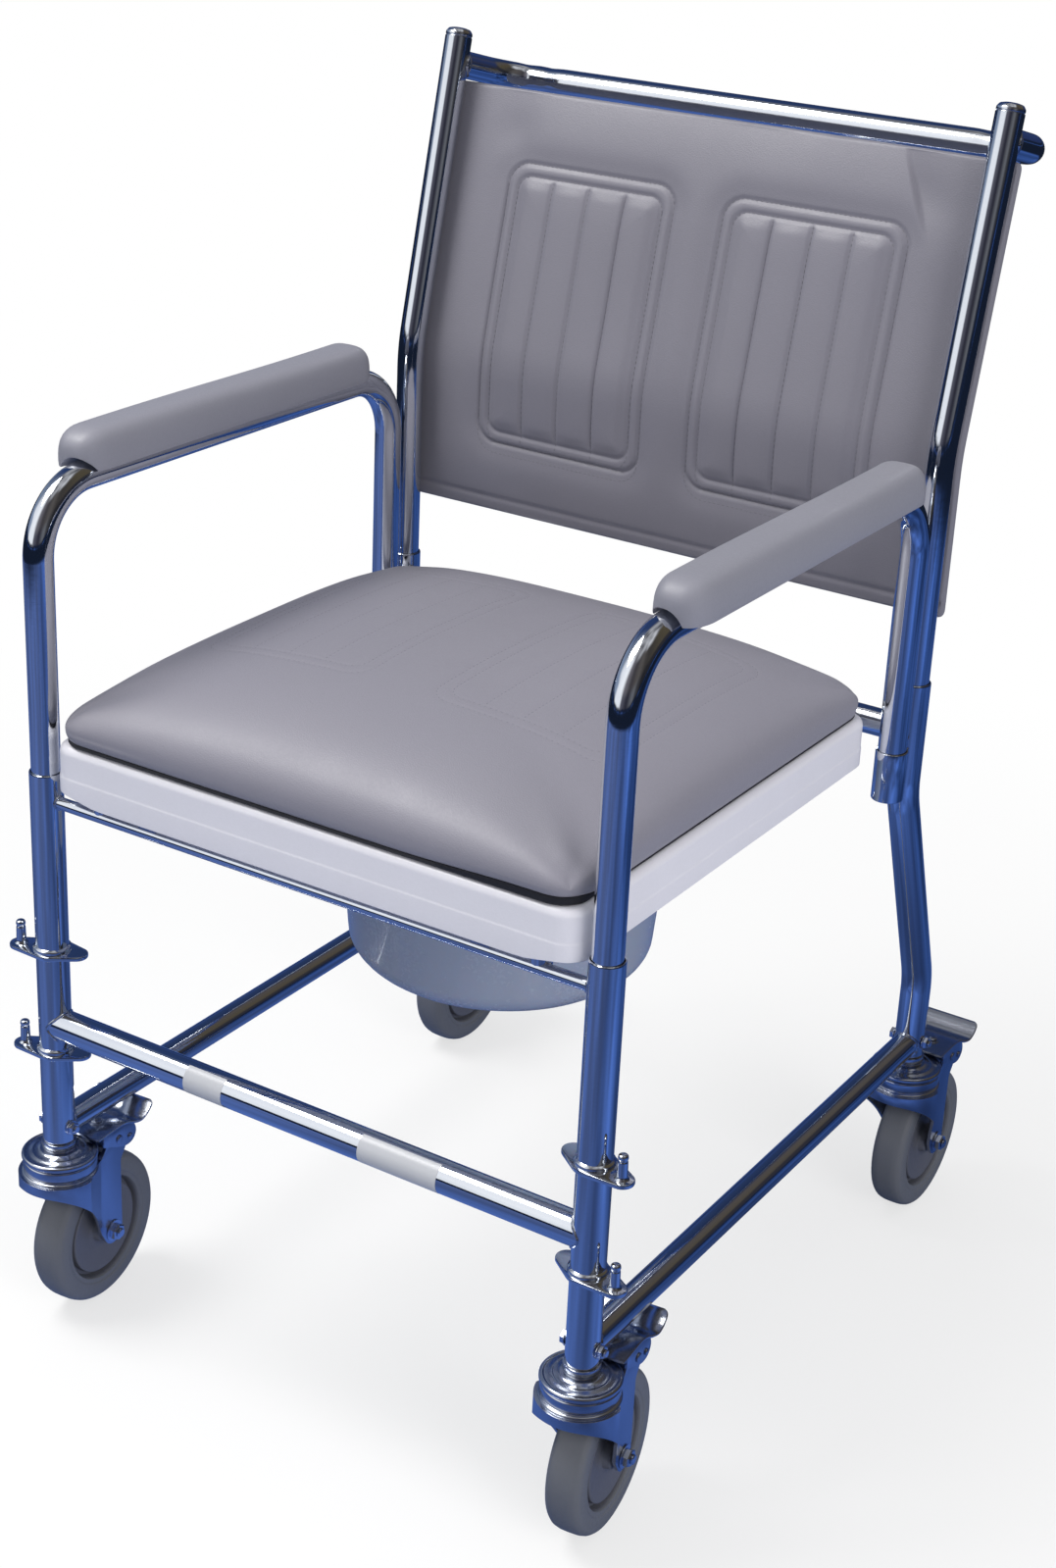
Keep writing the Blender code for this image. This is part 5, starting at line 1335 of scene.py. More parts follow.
class CHAIR_OT_seat_cushion(bpy.types.Operator):
    """Build the seat cushion, its black underside and the board under it"""
    bl_idname = "chair.seat_cushion"
    bl_label = "Seat Cushion"
    overhang = 0.0040
    tuck = 0.0046
    waist = 0.0088
    corner = 0.024

    def execute(self, context):
        sizes = context.scene.chair_sizes
        low, high = chair_box("seat_cushion")
        front, rear = low.y - self.overhang, high.y
        middle_y = (front + rear) / 2
        half_x = high.x - 0.0008
        half_y = (rear - front) / 2

        def front_point(across, along):
            share_x, share_y = abs(across) / half_x, abs(along) / half_y
            rise = sizes.cushion_crown * ((1 - share_x ** 2.6) * (1 - share_y ** 2.6)) ** 0.41
            x, y = corner_pull(across, along, half_x, half_y, self.corner)
            return Vector((x, y + middle_y, low.z + self.waist + rise))

        def ring(inward, height):
            def move(across, along):
                wide_x = across * (half_x - inward) / half_x
                wide_y = along * (half_y - inward) / half_y
                x, y = corner_pull(wide_x, wide_y, half_x - inward, half_y - inward, self.corner - inward)
                lift = self.edge_lift(x, y + half_y) * (1 - height / self.waist)
                return Vector((x, y + middle_y, low.z + height + lift))
            return move

        def lines(half):
            inner = even_lines(-0.955 * half, 0.955 * half, 0.006)
            ends = [half * share for share in (0.970, 0.981, 0.989, 0.994, 0.9972, 0.9989, 0.9997, 1.0)]
            return [-value for value in reversed(ends)] + inner + ends

        rings = [ring(self.tuck * (1 - cos(radians(angle))), self.waist * (1 - sin(radians(angle))) - 0.0004)
                 for angle in (14, 28, 42, 56, 70, 82, 90)]
        rings.append(ring(self.tuck + 0.006, -0.0002))
        shell = padded_shell(lines(half_x), lines(half_y), front_point, rings)
        held = [1.0 if order > 0 else smooth(0.90, 0.985, max(abs(x) / half_x, abs(y) / half_y))
                for x, y, order in cover_places(shell)]
        shell = refined(inflated(shell, held, sizes.cushion_swell, 30), 2)
        fields = paired_fields(0.028, 0.175, 0.098 - middle_y, 0.332 - middle_y)
        raise_cover(shell, self.cover_height(fields, sizes.cushion_seam_depth, half_x, half_y))
        made = part("seat_cushion", "cover", shell, "vinyl", "cushion", sharp=70)
        self.build_underside(half_x, front, rear, low.z)

        def ray_start(point):
            return Vector((point.x, point.y + middle_y, 0.7))

        down = Vector((0, 0, -1))
        stitches = solid(add_stitches, made, fields, 0.0046, ray_start, down, -0.0002, 0.00036)
        piece("seat_cushion_stitches", stitches, "thread", "cushion")
        self.build_board()
        return {'FINISHED'}

    def edge_lift(self, x, from_front):
        """How far the cover's lower edge stands up from its level, down at the sides and up at a corner."""
        at_front = 1 - smooth(0.010, 0.050, from_front)
        return 0.0030 * at_front * smooth(0.080, 0.185, x) - 0.0020 * (1 - at_front)

    def cover_height(self, fields, depth, half_x, half_y):
        """How far the cushion's cover stands out at a place: its faint fields, its slack and its folds."""
        def height(x, y):
            out = sum(field.height(x, y, depth, depth * 0.3) for field in fields)
            edge = min(half_x - abs(x), half_y - abs(y))
            out += 0.0011 * noise.noise(Vector((x * 9, y * 9, 1.7))) * smooth(0.0, 0.05, edge)
            # Slack folds that run in from the corners
            for side_x in (-1, 1):
                for side_y in (-1, 1):
                    in_x, in_y = half_x - side_x * x, half_y - side_y * y
                    reach = hypot(in_x, in_y)
                    if reach < 0.11:
                        swing = atan2(in_y, in_x)
                        strength = 0.0005 * smooth(0.0, 0.03, reach) * (1 - smooth(0.05, 0.11, reach))
                        out += strength * sin(swing * 9 + side_x * 1.3 + side_y * 0.7)
            return out
        return height

    def build_underside(self, half_x, front, rear, bottom):
        """Black backing cloth turned under the cover's edge, round the board; its black also stands for
        painted shade in the gap under the cushion.
        """
        loops = []
        for inset, height in ((0.0035, 0.0006), (0.0022, -0.0002), (0.0018, -0.0014), (0.0024, -0.0026),
                              (0.0040, -0.0031), (0.0200, -0.0031), (0.0200, 0.0006)):
            corner = self.corner - min(inset, 0.006)
            outline = rounded_outline(half_x - inset, front + inset, rear - inset, corner, 12, 60)
            share = smooth(-0.0026, 0.0, height)
            loops.append([Vector((x, y, bottom + height + share * max(self.edge_lift(x, y - front), 0)))
                          for x, y in outline])
        piece("seat_cushion_underside", solid(add_skin, loops, closed=True), "board", "cushion")

    def build_board(self):
        low, high = chair_box("cushion_board")
        outline = rounded_outline(high.x, low.y, high.y, 0.009, 12, 4)
        board = bevelled(solid(add_prism, outline, low.z, high.z), 0.0006)
        part("cushion_board", "sheet", board, "board", "cushion")


# Pan and runners

class CHAIR_OT_pan(bpy.types.Operator):
    """Build the pan and the two runners that carry its rim"""
    bl_idname = "chair.pan"
    bl_label = "Pan and Runners"

    def execute(self, context):
        low, high = chair_box("pan")
        rim = high.x
        wall = 0.0025
        mouth, knee, belly, foot = 0.133, 0.3285, 0.121, 0.0727

        def bowl(inset):
            """The side of the bowl from the middle of its floor up to the knee, as radius and height."""
            points = [(0.0, low.z + 0.0012 + inset), (foot * 0.45, low.z + 0.0012 + inset),
                      (foot * 0.55, low.z + inset)]
            for angle in spread(pi / 2, 0, 12):
                points.append((foot + (belly - foot - inset) * cos(angle),
                               knee - (knee - low.z - inset) * sin(angle)))
            return points

        edge = [(mouth, high.z - wall), (rim - 0.0006, high.z - wall), (rim, high.z - wall * 0.5),
                (rim - 0.0006, high.z), (mouth + 0.004, high.z), (mouth - wall, high.z - 0.0035)]
        profile = bowl(0.0) + eased([(belly, knee)] + edge, 0.0016)[1:-1] + bowl(wall)[::-1]
        pan = solid(add_turned, profile, 96, Matrix.Translation((0, PAN_Y, 0)))
        part("pan", "bowl", pan, "pan plastic", "pan")
        for side, word in SIDES:
            self.build_runner(side, word, rim)
        return {'FINISHED'}

    def build_runner(self, side, word, rim):
        """A folded runner beside the pan's rim, with the taller plate that hangs its rear end."""
        low, high = chair_box(f"pan_runner_{word}")
        sheet = 0.002
        web = rim + 0.0007 + sheet
        inner = web - sheet
        flange = web - 0.016
        top = 0.4732
        plate_front = 0.427
        plate_top = high.z - 0.004
        section = [(web, low.z), (web, top), (inner, top), (inner, low.z + sheet), (flange, low.z + sheet),
                   (flange, low.z)]
        plate = [(web, low.z), (web, plate_top), (inner, plate_top), (inner, low.z)]
        parts = []
        for outline, start in ((section, low.y), (plate, plate_front)):
            placed = [(side * x, z) for x, z in outline]
            parts.append(bevelled(solid(add_prism, placed, start, high.y, FRONT_VIEW), 0.0005))
        part(f"pan_runner_{word}", "angle", joined(*parts), "zinc", "frame")


# Casters, each in a frame on its swivel axis with the floor at Z = 0 and the wheel trailing to +Y

TRAIL = 0.039
AXLE_Z = 0.0635
HOOD_R = 0.033
HOOD_TOP = 0.137
SHEET = 0.0028
FORK_HALF = 0.0205
# The pin of the brake pedal
PIVOT = Vector((0, 0.046, 0.147))


def mirrored(right, ease):
    """A turned profile of radius and distance from the middle, eased and repeated on the other side."""
    right = eased(right, ease, 2)
    return [(size, -along) for size, along in reversed(right) if along > 0] + right


def add_hexagon(work, place, size, low, high):
    """A bolt head or nut with chamfered corners."""
    chamfer = (high - low) * 0.18
    profile = [(size * 0.86, low), (size, low + chamfer), (size, high - chamfer), (size * 0.86, high)]
    add_turned(work, profile, 6, place)


def add_bolt(work, place, radius, size, thick, half, tip, washer_radius):
    """A bolt through two plates: head, washers, nut and a threaded end."""
    face = half + 0.0009
    washer = eased([(radius, half), (washer_radius, half), (washer_radius, face), (radius, face)], 0.0003)
    for way in (-1, 1):
        flip = place if way > 0 else place @ Matrix.Rotation(pi, 4, 'X')
        add_turned(work, washer, 24, flip)
        add_hexagon(work, flip, size, face, face + thick)
    start = face + thick
    thread = [(0.0, -start - 0.0004), (radius * 0.8, -start - 0.0004), (radius * 0.9, -start),
              (radius, -start), (radius, start)]
    turns = max(int(tip / 0.0008), 2)
    for base in spread(start, start + tip, turns)[:-1]:
        thread += [(radius * 0.86, base), (radius, base + tip / turns * 0.5)]
    thread += [(radius * 0.80, start + tip), (0.0, start + tip)]
    add_turned(work, thread, 20, place)


def stem_mesh():
    """Fixed part of a caster: kingpin, dished and stepped cap, and the collar under the leg."""
    pin = [(0.0, 0.1282), (0.0066, 0.1282), (0.007, 0.1286), (0.007, 0.1336), (0.0048, 0.1336)]
    cap = [(0.0048, 0.0), (0.0286, 0.0), (0.0300, 0.0010), (0.0300, 0.0034), (0.0288, 0.0046),
           (0.0272, 0.0046), (0.0262, 0.0040), (0.0240, 0.0046), (0.0216, 0.0056), (0.0206, 0.0058),
           (0.0198, 0.0054), (0.0168, 0.0064), (0.0154, 0.0072), (0.0128, 0.0076), (0.0120, 0.0082)]
    collar = [(0.0120, 0.1597), (0.0138, 0.1597), (0.0138, 0.1650), (0.0112, 0.1652), (0.0112, 0.1700),
              (0.0, 0.1700)]
    raised_cap = [(radius, 0.1498 + height) for radius, height in cap]
    return solid(add_turned, eased(pin + raised_cap + collar, 0.0005, 2), 56)


def hood_plan(inset, rear):
    """Outline of a fork from above: round in front, two straight legs behind."""
    radius = HOOD_R - inset
    half = FORK_HALF - inset
    neck = 0.024
    hood = arc(0, 0, radius, 186, 354, 36)
    return [(-half, rear), (-half, neck), *hood, (half, neck), (half, rear)]


def fork_side():
    """Side view of the fork as pairs of Y and Z."""
    front = flowing([(-0.035, 0.1290), (-0.028, 0.1270), (-0.019, 0.1220), (-0.010, 0.1150),
                     (-0.001, 0.1062), (0.0080, 0.0955), (0.0155, 0.0835), (0.0215, 0.0715)], 5)
    lobe = arc(TRAIL, AXLE_Z, 0.0115, 200, 360, 14)
    ear = eased([(TRAIL + 0.0115, 0.066), (TRAIL + 0.0115, HOOD_TOP - 0.012), (0.058, HOOD_TOP - 0.002),
                 (0.058, 0.147), (0.053, 0.152), (0.036, 0.152), (0.030, HOOD_TOP + 0.004),
                 (0.026, HOOD_TOP)], 0.002)
    return [(-0.035, HOOD_TOP)] + front + lobe + ear


def fork_mesh():
    """Pressed fork: hood, two legs, brake ears, and the two races on top."""
    body = solid(add_prism, hood_plan(0, 0.060), 0.0115, 0.162)
    body = combine(body, solid(add_prism, fork_side(), -0.045, 0.045, SIDE_VIEW), 'INTERSECT')
    body = combine(body, solid(add_prism, hood_plan(SHEET, 0.07), 0, HOOD_TOP - SHEET), 'DIFFERENCE')
    half = FORK_HALF - SHEET
    bay = solid(add_prism, [(-half, 0.030), (half, 0.030), (half, 0.07), (-half, 0.07)], 0.12, 0.172)
    body = bevelled(combine(body, bay, 'DIFFERENCE'), 0.0007, 3, 30)
    race = [(0.0052, -0.0008), (0.0300, -0.0008), (0.0304, 0.0004), (0.0298, 0.0016), (0.0280, 0.0022),
            (0.0278, 0.0032), (0.0290, 0.0040), (0.0292, 0.0112), (0.0280, 0.0122), (0.0052, 0.0122)]
    return joined(body, solid(add_turned, eased(race, 0.0006, 2), 56, up(HOOD_TOP), closed=True))


def tyre_mesh(radius):
    """Tyre about its axle: slightly crowned tread, round shoulders, and a stepped side wall."""
    half = 0.0142
    right = [(radius, 0.0), (radius - 0.0002, half * 0.45), (radius - 0.0012, half * 0.74),
             (radius - 0.0036, half * 0.94), (radius - 0.0070, half), (0.0500, half),
             (0.0482, half - 0.0004), (0.0474, half - 0.0011), (0.0440, half - 0.0012),
             (0.0432, half - 0.0030)]
    return solid(add_turned, mirrored(right, 0.0010), 72, ALONG_X, closed=True)


def hub_mesh():
    """Hub about its axle: dished disc with a ring groove and a boss for the bolt."""
    half = 0.0150
    right = [(0.0044, half), (0.0105, half), (0.0120, half - 0.0008), (0.0132, half - 0.0060),
             (0.0180, half - 0.0064), (0.0300, half - 0.0050), (0.0372, half - 0.0036),
             (0.0386, half - 0.0042), (0.0390, half - 0.0098), (0.0422, half - 0.0098),
             (0.0427, half - 0.0042), (0.0432, half - 0.0034)]
    return solid(add_turned, mirrored(right, 0.0006), 64, ALONG_X, closed=True)


PEDAL_TOP = 0.1582


def pedal_plate():
    """Tread plate of the pedal: three ribs across it and a turned-up, flared lip."""
    # Distance to the rear, height over the pedal's top, and half width
    line = flowing([(0.0205, 0.0, 0.0233), (0.038, 0.0, 0.0235), (0.050, -0.0002, 0.0236),
                    (0.0575, -0.0012, 0.0245), (0.0635, -0.0031, 0.0266), (0.0690, -0.0034, 0.0284),
                    (0.0745, -0.0012, 0.0290), (0.0795, 0.0022, 0.0290), (0.0832, 0.0044, 0.0283),
                    (0.0855, 0.0052, 0.0264), (0.0863, 0.0051, 0.0238)], 4)
    half = 0.00095
    loops = []
    for index, (y, z, width) in enumerate(line):
        before, after = line[max(index - 1, 0)], line[min(index + 1, len(line) - 1)]
        slope = atan2(after[1] - before[1], after[0] - before[0])
        lift = Vector((0, -sin(slope), cos(slope)))
        rib = 0.0005 * sum(groove(y - place, 0.0013) for place in (0.0255, 0.0300, 0.0350))
        side = [(width * 0.66, half + rib), (width * 0.72, half), (width - 0.0006, half),
                (width, half * 0.4), (width, -half * 0.4), (width - 0.0006, -half)]
        section = side + [(-x, rise) for x, rise in reversed(side)]
        loops.append([Vector((x, y, PEDAL_TOP + z)) + lift * rise for x, rise in section])
    return solid(add_skin, loops)


def pedal_mesh():
    """Brake pedal about its pin: tread plate, side cheeks, shoe, pins and the head of a screw."""
    top = PEDAL_TOP
    cheek = flowing([(0.0265, top), (0.060, top - 0.0006), (0.066, 0.1525), (0.0685, 0.144), (0.064, 0.1375),
                     (0.055, 0.1365), (0.044, 0.1405), (0.036, 0.1445), (0.0265, 0.1485)], 3)
    shoe = [(0.0425, top - 0.0008), (0.058, top - 0.0010), (0.058, 0.1286), (0.050, 0.1292), (0.0425, 0.137)]
    parts = [pedal_plate(), bevelled(solid(add_prism, shoe, -0.0162, 0.0162, SIDE_VIEW), 0.0005)]
    for low, high in ((0.0209, 0.0231), (-0.0231, -0.0209)):
        parts.append(bevelled(solid(add_prism, cheek, low, high, SIDE_VIEW), 0.0005, 2, 45))
    work = bmesh.new()
    for y, z, size in ((PIVOT.y, PIVOT.z, 0.0030), (0.0600, 0.1430, 0.0022)):
        pin = [(size, 0.0), (size, 0.0230), (size * 1.25, 0.0232), (size * 1.25, 0.0240),
               (size * 0.9, 0.0246), (0.0, 0.0246)]
        add_turned(work, mirrored(pin, 0.0003), 20, Matrix.Translation((0, y, z)) @ ALONG_X)
    screw = Matrix.Translation((0.004, 0.0420, top))
    add_turned(work, eased([(0.0062, 0.0008), (0.0062, 0.0016), (0.0030, 0.0016)], 0.0003), 24, screw)
    add_hexagon(work, screw, 0.0046, 0.0016, 0.0037)
    add_turned(work, eased([(0.0024, 0.0036), (0.0024, 0.0046), (0.0, 0.0046)], 0.0003), 16, screw)
    whole = joined(*parts, to_mesh(work))
    whole.transform(Matrix.Translation(-PIVOT))
    return whole


class CHAIR_OT_casters(bpy.types.Operator):
    """Build the four swivel casters with their wheels, bolts and brake pedals"""
    bl_idname = "chair.casters"
    bl_label = "Casters"

    def execute(self, context):
        sizes = context.scene.chair_sizes
        stem, fork, hub, pedal = stem_mesh(), fork_mesh(), hub_mesh(), pedal_mesh()
        tyre = tyre_mesh(sizes.wheel_radius)
        leg_half = sizes.leg_radius + 0.0002
        stem_bolt = solid(add_bolt, ALONG_X, 0.003, 0.0052, 0.0034, leg_half, 0.0022, 0.0060)
        axle_bolt = solid(add_bolt, ALONG_X, 0.004, 0.0072, 0.0052, FORK_HALF + 0.0002, 0.0022, 0.0092)
        for place, degrees_turned in CASTER_TURNS.items():
            x = LEG_X if place.endswith("right") else -LEG_X
            y = WHEELBASE if place.startswith("rear") else 0.0
            spot = Matrix.Translation((x, y, 0))
            turn = spot @ Matrix.Rotation(radians(degrees_turned), 4, 'Z')
            axle = turn @ Matrix.Translation((0, TRAIL, AXLE_Z))
            pivot = turn @ Matrix.Translation(PIVOT)
            # Node, last word of the piece's name, mesh, finish, body and place
            rows = (
                ("caster_stem", "cap", stem, "zinc", "frame", spot),
                ("stem_bolt", "set", stem_bolt, "bolt", "frame", spot @ up(0.179)),
                ("fork", "pressing", fork, "zinc", f"swivel_{place}", turn),
                ("axle_bolt", "set", axle_bolt, "bolt", f"swivel_{place}", axle),
                ("tyre", "ring", tyre, "rubber", f"wheel_{place}", axle),
                ("hub", "disc", hub, "hub", f"wheel_{place}", axle),
                ("brake_pedal", "pressing", pedal, "zinc", f"pedal_{place}", pivot),
            )
            for node, word, mesh, finish, body, where in rows:
                part(f"{node}_{place}", word, mesh.copy(), finish, body, where)
        return {'FINISHED'}


class CHAIR_OT_blank_labels(bpy.types.Operator):
    """Build the two blank film labels wrapped over the lower front bar"""
    bl_idname = "chair.blank_labels"
    bl_label = "Blank Labels"

    def execute(self, context):
        radius = context.scene.chair_sizes.leg_radius - LOWER_BAR_THINNER
        for word, start, end in (("short", -0.1052, -0.0698), ("long", 0.0545, 0.1225)):
            work = bmesh.new()
            rims = []
            for size in (radius + 0.00005, radius + 0.00016):
                grid = [[work.verts.new((x, -size * cos(angle), LOWER_BAR_Z + size * sin(angle)))
                         for x in spread(start, end, 24)] for angle in spread(radians(-62), radians(72), 20)]
                add_grid(work, grid)
                rims.append(grid_rim(grid))
            bridge(work, *rims)
            piece(f"blank_label_{word}", work, "label", "frame")
        return {'FINISHED'}


# Stage

# What the plating mirrors near the horizon and higher up: direction in degrees from +X, and colour
LOW_SURROUND = ((0, (0.020, 0.020, 0.024)), (55, (0.030, 0.030, 0.040)), (75, (0.020, 0.035, 0.110)),
                (140, (0.030, 0.060, 0.190)), (165, (0.22, 0.29, 0.42)), (205, (0.26, 0.32, 0.44)),
                (222, (0.95, 0.97, 1.0)), (256, (0.95, 0.97, 1.0)), (268, (0.10, 0.10, 0.13)),
                (300, (0.030, 0.030, 0.045)), (330, (0.14, 0.145, 0.16)), (345, (0.05, 0.05, 0.055)))
HIGH_SURROUND = ((0, (0.050, 0.045, 0.042)), (40, (0.085, 0.070, 0.045)), (72, (0.090, 0.078, 0.070)),
                 (95, (0.020, 0.035, 0.090)), (150, (0.025, 0.050, 0.140)), (180, (0.20, 0.24, 0.32)),
                 (208, (0.90, 0.92, 0.97)), (246, (1.05, 1.06, 1.08)), (272, (0.16, 0.15, 0.17)),
                 (305, (0.060, 0.055, 0.060)), (335, (0.10, 0.09, 0.085)))
# How bright the mirrored cloth on the floor is in each direction
CLOTH_FOLDS = ((0, 0.95), (30, 0.62), (50, 0.62), (80, 0.85), (200, 0.90), (225, 1.15), (250, 1.12),
               (275, 1.0), (298, 0.80), (314, 0.62), (332, 1.0), (346, 1.3))


def around(tree, way, stops):
    """A colour by direction round the chair, from stops in degrees that close on themselves."""
    split = add_node(tree, 'ShaderNodeSeparateXYZ', Vector=way).outputs
    turn = maths(tree, 'ARCTAN2', split["Y"], split["X"])
    share = maths(tree, 'FRACT', maths(tree, 'MULTIPLY_ADD', turn, 0.5 / pi, 1.0))
    ramp = add_node(tree, 'ShaderNodeValToRGB', Fac=share)
    stops = [*stops, (360, stops[0][1])]
    band = ramp.color_ramp
    band.interpolation = 'EASE'
    while len(band.elements) < len(stops):
        band.elements.new(0.5)
    for element, (degree, colour) in zip(band.elements, stops):
        element.position = degree / 360
        element.color = (*colour, 1)
    return ramp.outputs["Color"]


def surround_light(tree, tint):
    """What polished metal sees all round: a cloth below, a dark edge, a room and soft boxes above."""
    way = add_node(tree, 'ShaderNodeTexCoord').outputs["Generated"]
    height = add_node(tree, 'ShaderNodeSeparateXYZ', Vector=way).outputs["Z"]
    folds = noise_value(tree, way, 3.2, 3.0)
    wave = maths(tree, 'MULTIPLY_ADD', folds, 0.16, maths(tree, 'SUBTRACT', height, 0.08))

    def above(low, high):
        return remapped(tree, wave, low, high, kind='SMOOTHSTEP')

    room = mix(tree, above(0.24, 0.44), around(tree, way, LOW_SURROUND), around(tree, way, HIGH_SURROUND))
    mottle = remapped(tree, noise_value(tree, way, 3.0, 1.0), 0.34, 0.68)
    ceiling = mix(tree, mottle, (0.11, 0.11, 0.12, 1), (0.66, 0.66, 0.68, 1))
    room = mix(tree, above(0.80, 0.93), room, ceiling)
    edge = mix(tree, above(0.045, 0.10), (0.008, 0.014, 0.034, 1), room)
    return mix(tree, above(-0.02, 0.012), (*shade(tint, 0.8), 1), edge)


def build_world(stage):
    """Even light from all round, seen as white by the camera and as the surround by polished metal."""
    world = bpy.data.worlds.new("studio")
    bpy.context.scene.world = world
    world.use_nodes = True
    tree = world.node_tree
    tree.nodes.clear()
    ray = add_node(tree, 'ShaderNodeLightPath').outputs
    plain = add_node(tree, 'ShaderNodeBackground', Color=(0.95, 0.97, 1.0, 1), Strength=stage.ambient)
    seen = add_node(tree, 'ShaderNodeBackground', Color=(1, 1, 1, 1), Strength=1.0)
    mirrored_room = add_node(tree, 'ShaderNodeBackground', Color=surround_light(tree, stage.surround))
    unseen = mix_shaders(tree, ray["Is Glossy Ray"], plain, mirrored_room)
    whole = mix_shaders(tree, ray["Is Camera Ray"], unseen, seen)
    add_node(tree, 'ShaderNodeOutputWorld', Surface=whole.outputs[0])


def cloth_colour(tree, place, distance, tint):
    """The blue cloth that the plating sees on the floor: mottled, paler in front, folded, dark far out."""
    mottle = remapped(tree, noise_value(tree, place, 1.6, 3.0), 0.38, 0.62)
    cloth = mix(tree, mottle, (*shade(tint, 0.55), 1), (*shade(tint, 1.5), 1))
    toward = add_node(tree, 'ShaderNodeVectorMath', {"operation": 'DOT_PRODUCT'}, n0=place,
                      n1=(-0.5, -0.86, 0))
    near = remapped(tree, toward.outputs["Value"], -0.8, 1.4, 0.0, 0.45)
    paler = (*(channel * 0.75 + 0.11 for channel in tint), 1)
    folds = around(tree, place, [(degree, (share, share, share)) for degree, share in CLOTH_FOLDS])
    cloth = mix(tree, 1.0, mix(tree, near, cloth, paler), folds, 'MULTIPLY')
    beyond = remapped(tree, distance, 2.05, 2.50, kind='SMOOTHSTEP')
    return mix(tree, beyond, cloth, (0.008, 0.013, 0.028, 1))


def floor_finish(stage):
    """Pale floor that keeps the shadow, and that the plating and the underside see as a blue cloth."""
    made = bpy.data.materials.new("studio floor")
    made.use_nodes = True
    tree = made.node_tree
    tree.nodes.clear()
    ray = add_node(tree, 'ShaderNodeLightPath').outputs
    place = add_node(tree, 'ShaderNodeTexCoord').outputs["Object"]
    distance = add_node(tree, 'ShaderNodeVectorMath', {"operation": 'LENGTH'}, n0=place).outputs["Value"]
    lit = add_node(tree, 'ShaderNodeBsdfDiffuse', Color=(0.93, 0.93, 0.93, 1))
    white = add_node(tree, 'ShaderNodeEmission', Color=(1, 1, 1, 1), Strength=1.0)
    shown = mix_shaders(tree, remapped(tree, distance, 0.5, 1.5, 0.66, 1.0, 'SMOOTHSTEP'), lit, white)
    cloth = cloth_colour(tree, place, distance, stage.surround)
    cloth_light = add_node(tree, 'ShaderNodeEmission', Color=cloth, Strength=1.0)
    dim = add_node(tree, 'ShaderNodeBsdfDiffuse', Color=(0.42, 0.46, 0.56, 1))
    unseen = mix_shaders(tree, ray["Is Glossy Ray"], dim, cloth_light)
    whole = mix_shaders(tree, ray["Is Camera Ray"], unseen, shown)
    add_node(tree, 'ShaderNodeOutputMaterial', Surface=whole.outputs[0])
    return made


def add_lamp(name, power, size, location, aim, colour):
    """A square area lamp turned toward its aim."""
    lamp = bpy.data.lights.new(name, 'AREA')
    lamp.energy = power
    lamp.size = size
    lamp.color = colour
    made = linked(name, lamp)
    made.location = location
    made.rotation_euler = (Vector(aim) - Vector(location)).to_track_quat('-Z', 'Y').to_euler()
    return made


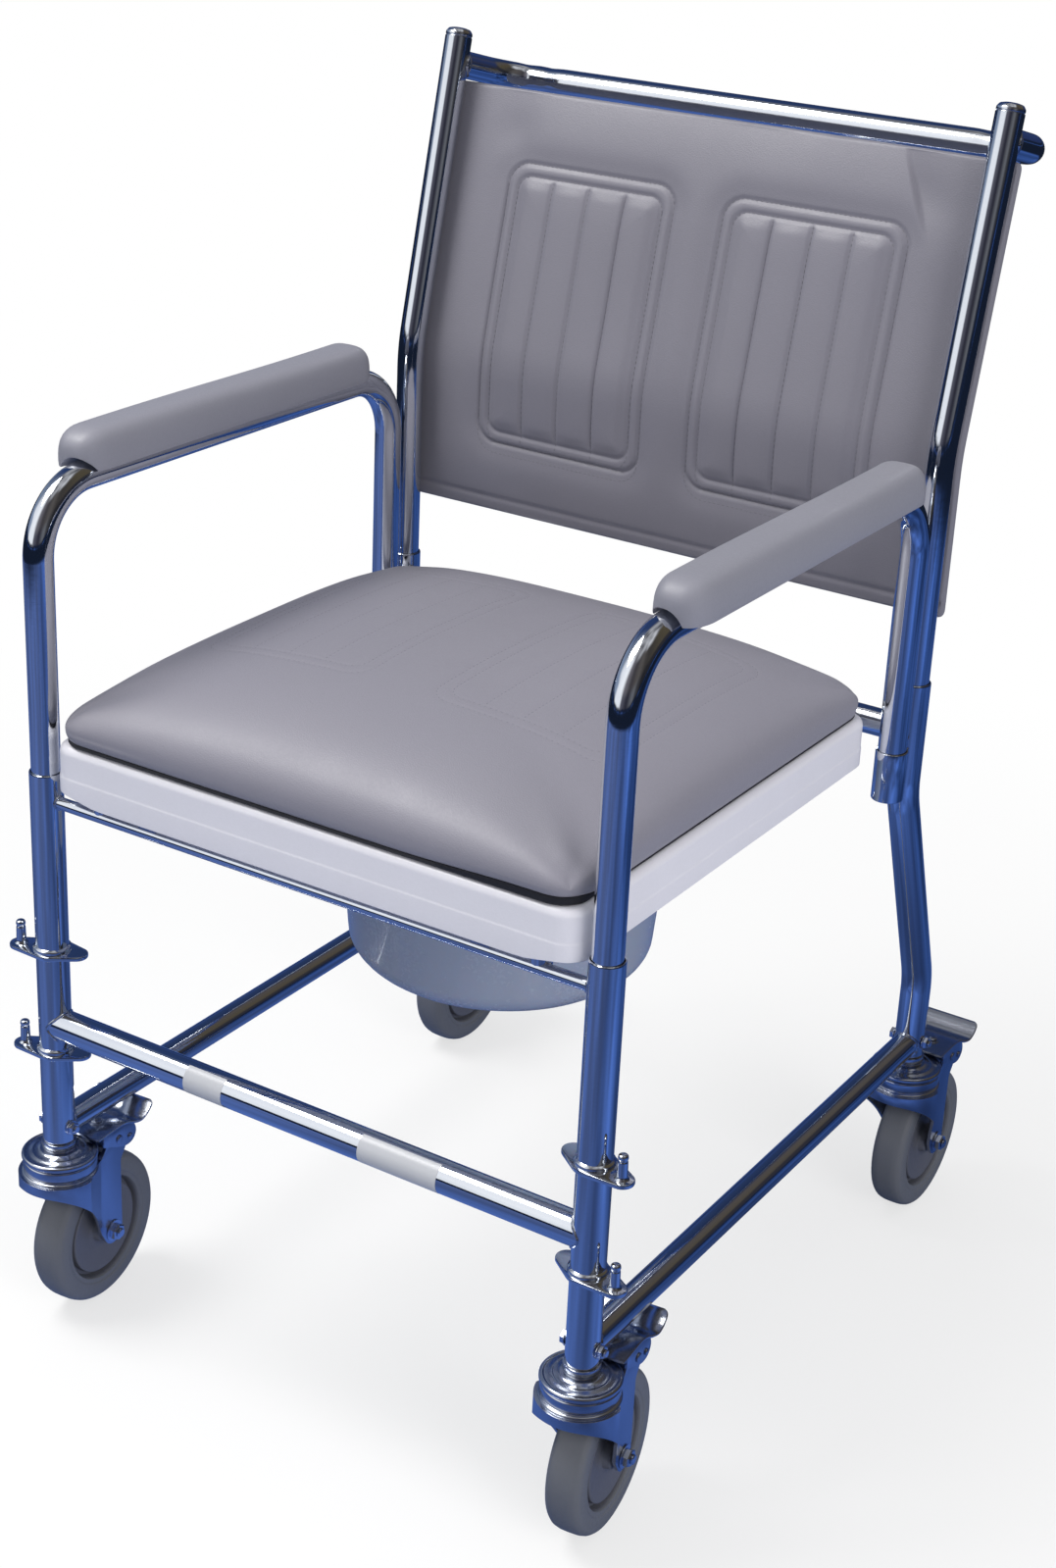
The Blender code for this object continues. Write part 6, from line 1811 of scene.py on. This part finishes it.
class CHAIR_OT_stage(bpy.types.Operator):
    """Build the floor, lamps, world and camera"""
    bl_idname = "chair.stage"
    bl_label = "Stage"

    def execute(self, context):
        stage = context.scene.chair_stage
        lines = spread(-40.0, 40.0, 8)
        work = bmesh.new()
        add_grid(work, [[work.verts.new((x, y, 0.0)) for x in lines] for y in lines])
        floor = linked("floor", to_mesh(work, "floor"))
        floor.data.materials.append(floor_finish(stage))
        build_world(stage)
        aim = (0, 0, 0.5)
        add_lamp("key", stage.key_power, 1.3, (-1.25, -0.85, 2.9), aim, (1.0, 0.99, 0.97))
        fill = add_lamp("fill", stage.fill_power, 1.5, (2.6, -1.1, 1.3), aim, (1.0, 0.98, 0.96))
        fill.visible_glossy = False
        self.add_camera(context)
        context.scene.view_settings.view_transform = 'Standard'
        return {'FINISHED'}

    def add_camera(self, context):
        """The camera at the photograph's place, with its turn, tilt and small roll."""
        azimuth, elevation, roll = radians(31.69), radians(24.07), radians(2.73)
        # Both in pixels of the photograph
        focal_length, photo_height = 2600.4, 1599
        ahead = Vector((-sin(azimuth) * cos(elevation), cos(azimuth) * cos(elevation), -sin(elevation)))
        right = Vector((cos(azimuth), sin(azimuth), 0))
        above = right.cross(ahead)
        across = right * cos(roll) + above * sin(roll)
        upward = above * cos(roll) - right * sin(roll)
        place = Vector((0.9613, -1.2726 + FRONT_Y, 1.2554))
        turn = Matrix((across, upward, -ahead)).transposed().to_4x4()
        camera = linked("camera", bpy.data.cameras.new("camera"))
        camera.matrix_world = Matrix.Translation(place) @ turn
        camera.data.sensor_width = 36
        camera.data.lens = focal_length / photo_height * 36
        camera.data.clip_start = 0.05
        context.scene.camera = camera


# Add-on

OPERATORS = (CHAIR_OT_tube_frame, CHAIR_OT_footrest_brackets, CHAIR_OT_arm_rests, CHAIR_OT_back_tubes,
             CHAIR_OT_back_panel, CHAIR_OT_commode_seat, CHAIR_OT_seat_cushion, CHAIR_OT_pan,
             CHAIR_OT_casters, CHAIR_OT_blank_labels, CHAIR_OT_stage)


class CHAIR_PT_panel(bpy.types.Panel):
    """Lists the pieces of the chair and the values that shape them"""
    bl_idname = "CHAIR_PT_panel"
    bl_label = "Commode Chair"
    bl_space_type = 'VIEW_3D'
    bl_region_type = 'UI'
    bl_category = "Commode Chair"

    def draw(self, context):
        layout = self.layout
        for operator in OPERATORS:
            layout.operator(operator.bl_idname)
        for group in (context.scene.chair_sizes, context.scene.chair_colours, context.scene.chair_stage):
            box = layout.box()
            for name in group.__annotations__:
                box.prop(group, name)


CLASSES = (ChairSizes, ChairColours, ChairStage, *OPERATORS, CHAIR_PT_panel)


def register():
    for item in CLASSES:
        bpy.utils.register_class(item)
    bpy.types.Scene.chair_sizes = PointerProperty(type=ChairSizes)
    bpy.types.Scene.chair_colours = PointerProperty(type=ChairColours)
    bpy.types.Scene.chair_stage = PointerProperty(type=ChairStage)


def unregister():
    del bpy.types.Scene.chair_stage
    del bpy.types.Scene.chair_colours
    del bpy.types.Scene.chair_sizes
    for item in reversed(CLASSES):
        bpy.utils.unregister_class(item)


def main():
    register()
    for operator in OPERATORS:
        name = operator.bl_idname.split(".")[1]
        if getattr(bpy.ops.chair, name)() != {'FINISHED'}:
            raise RuntimeError(f"{operator.bl_label} did not finish")


if __name__ == "__main__":
    main()
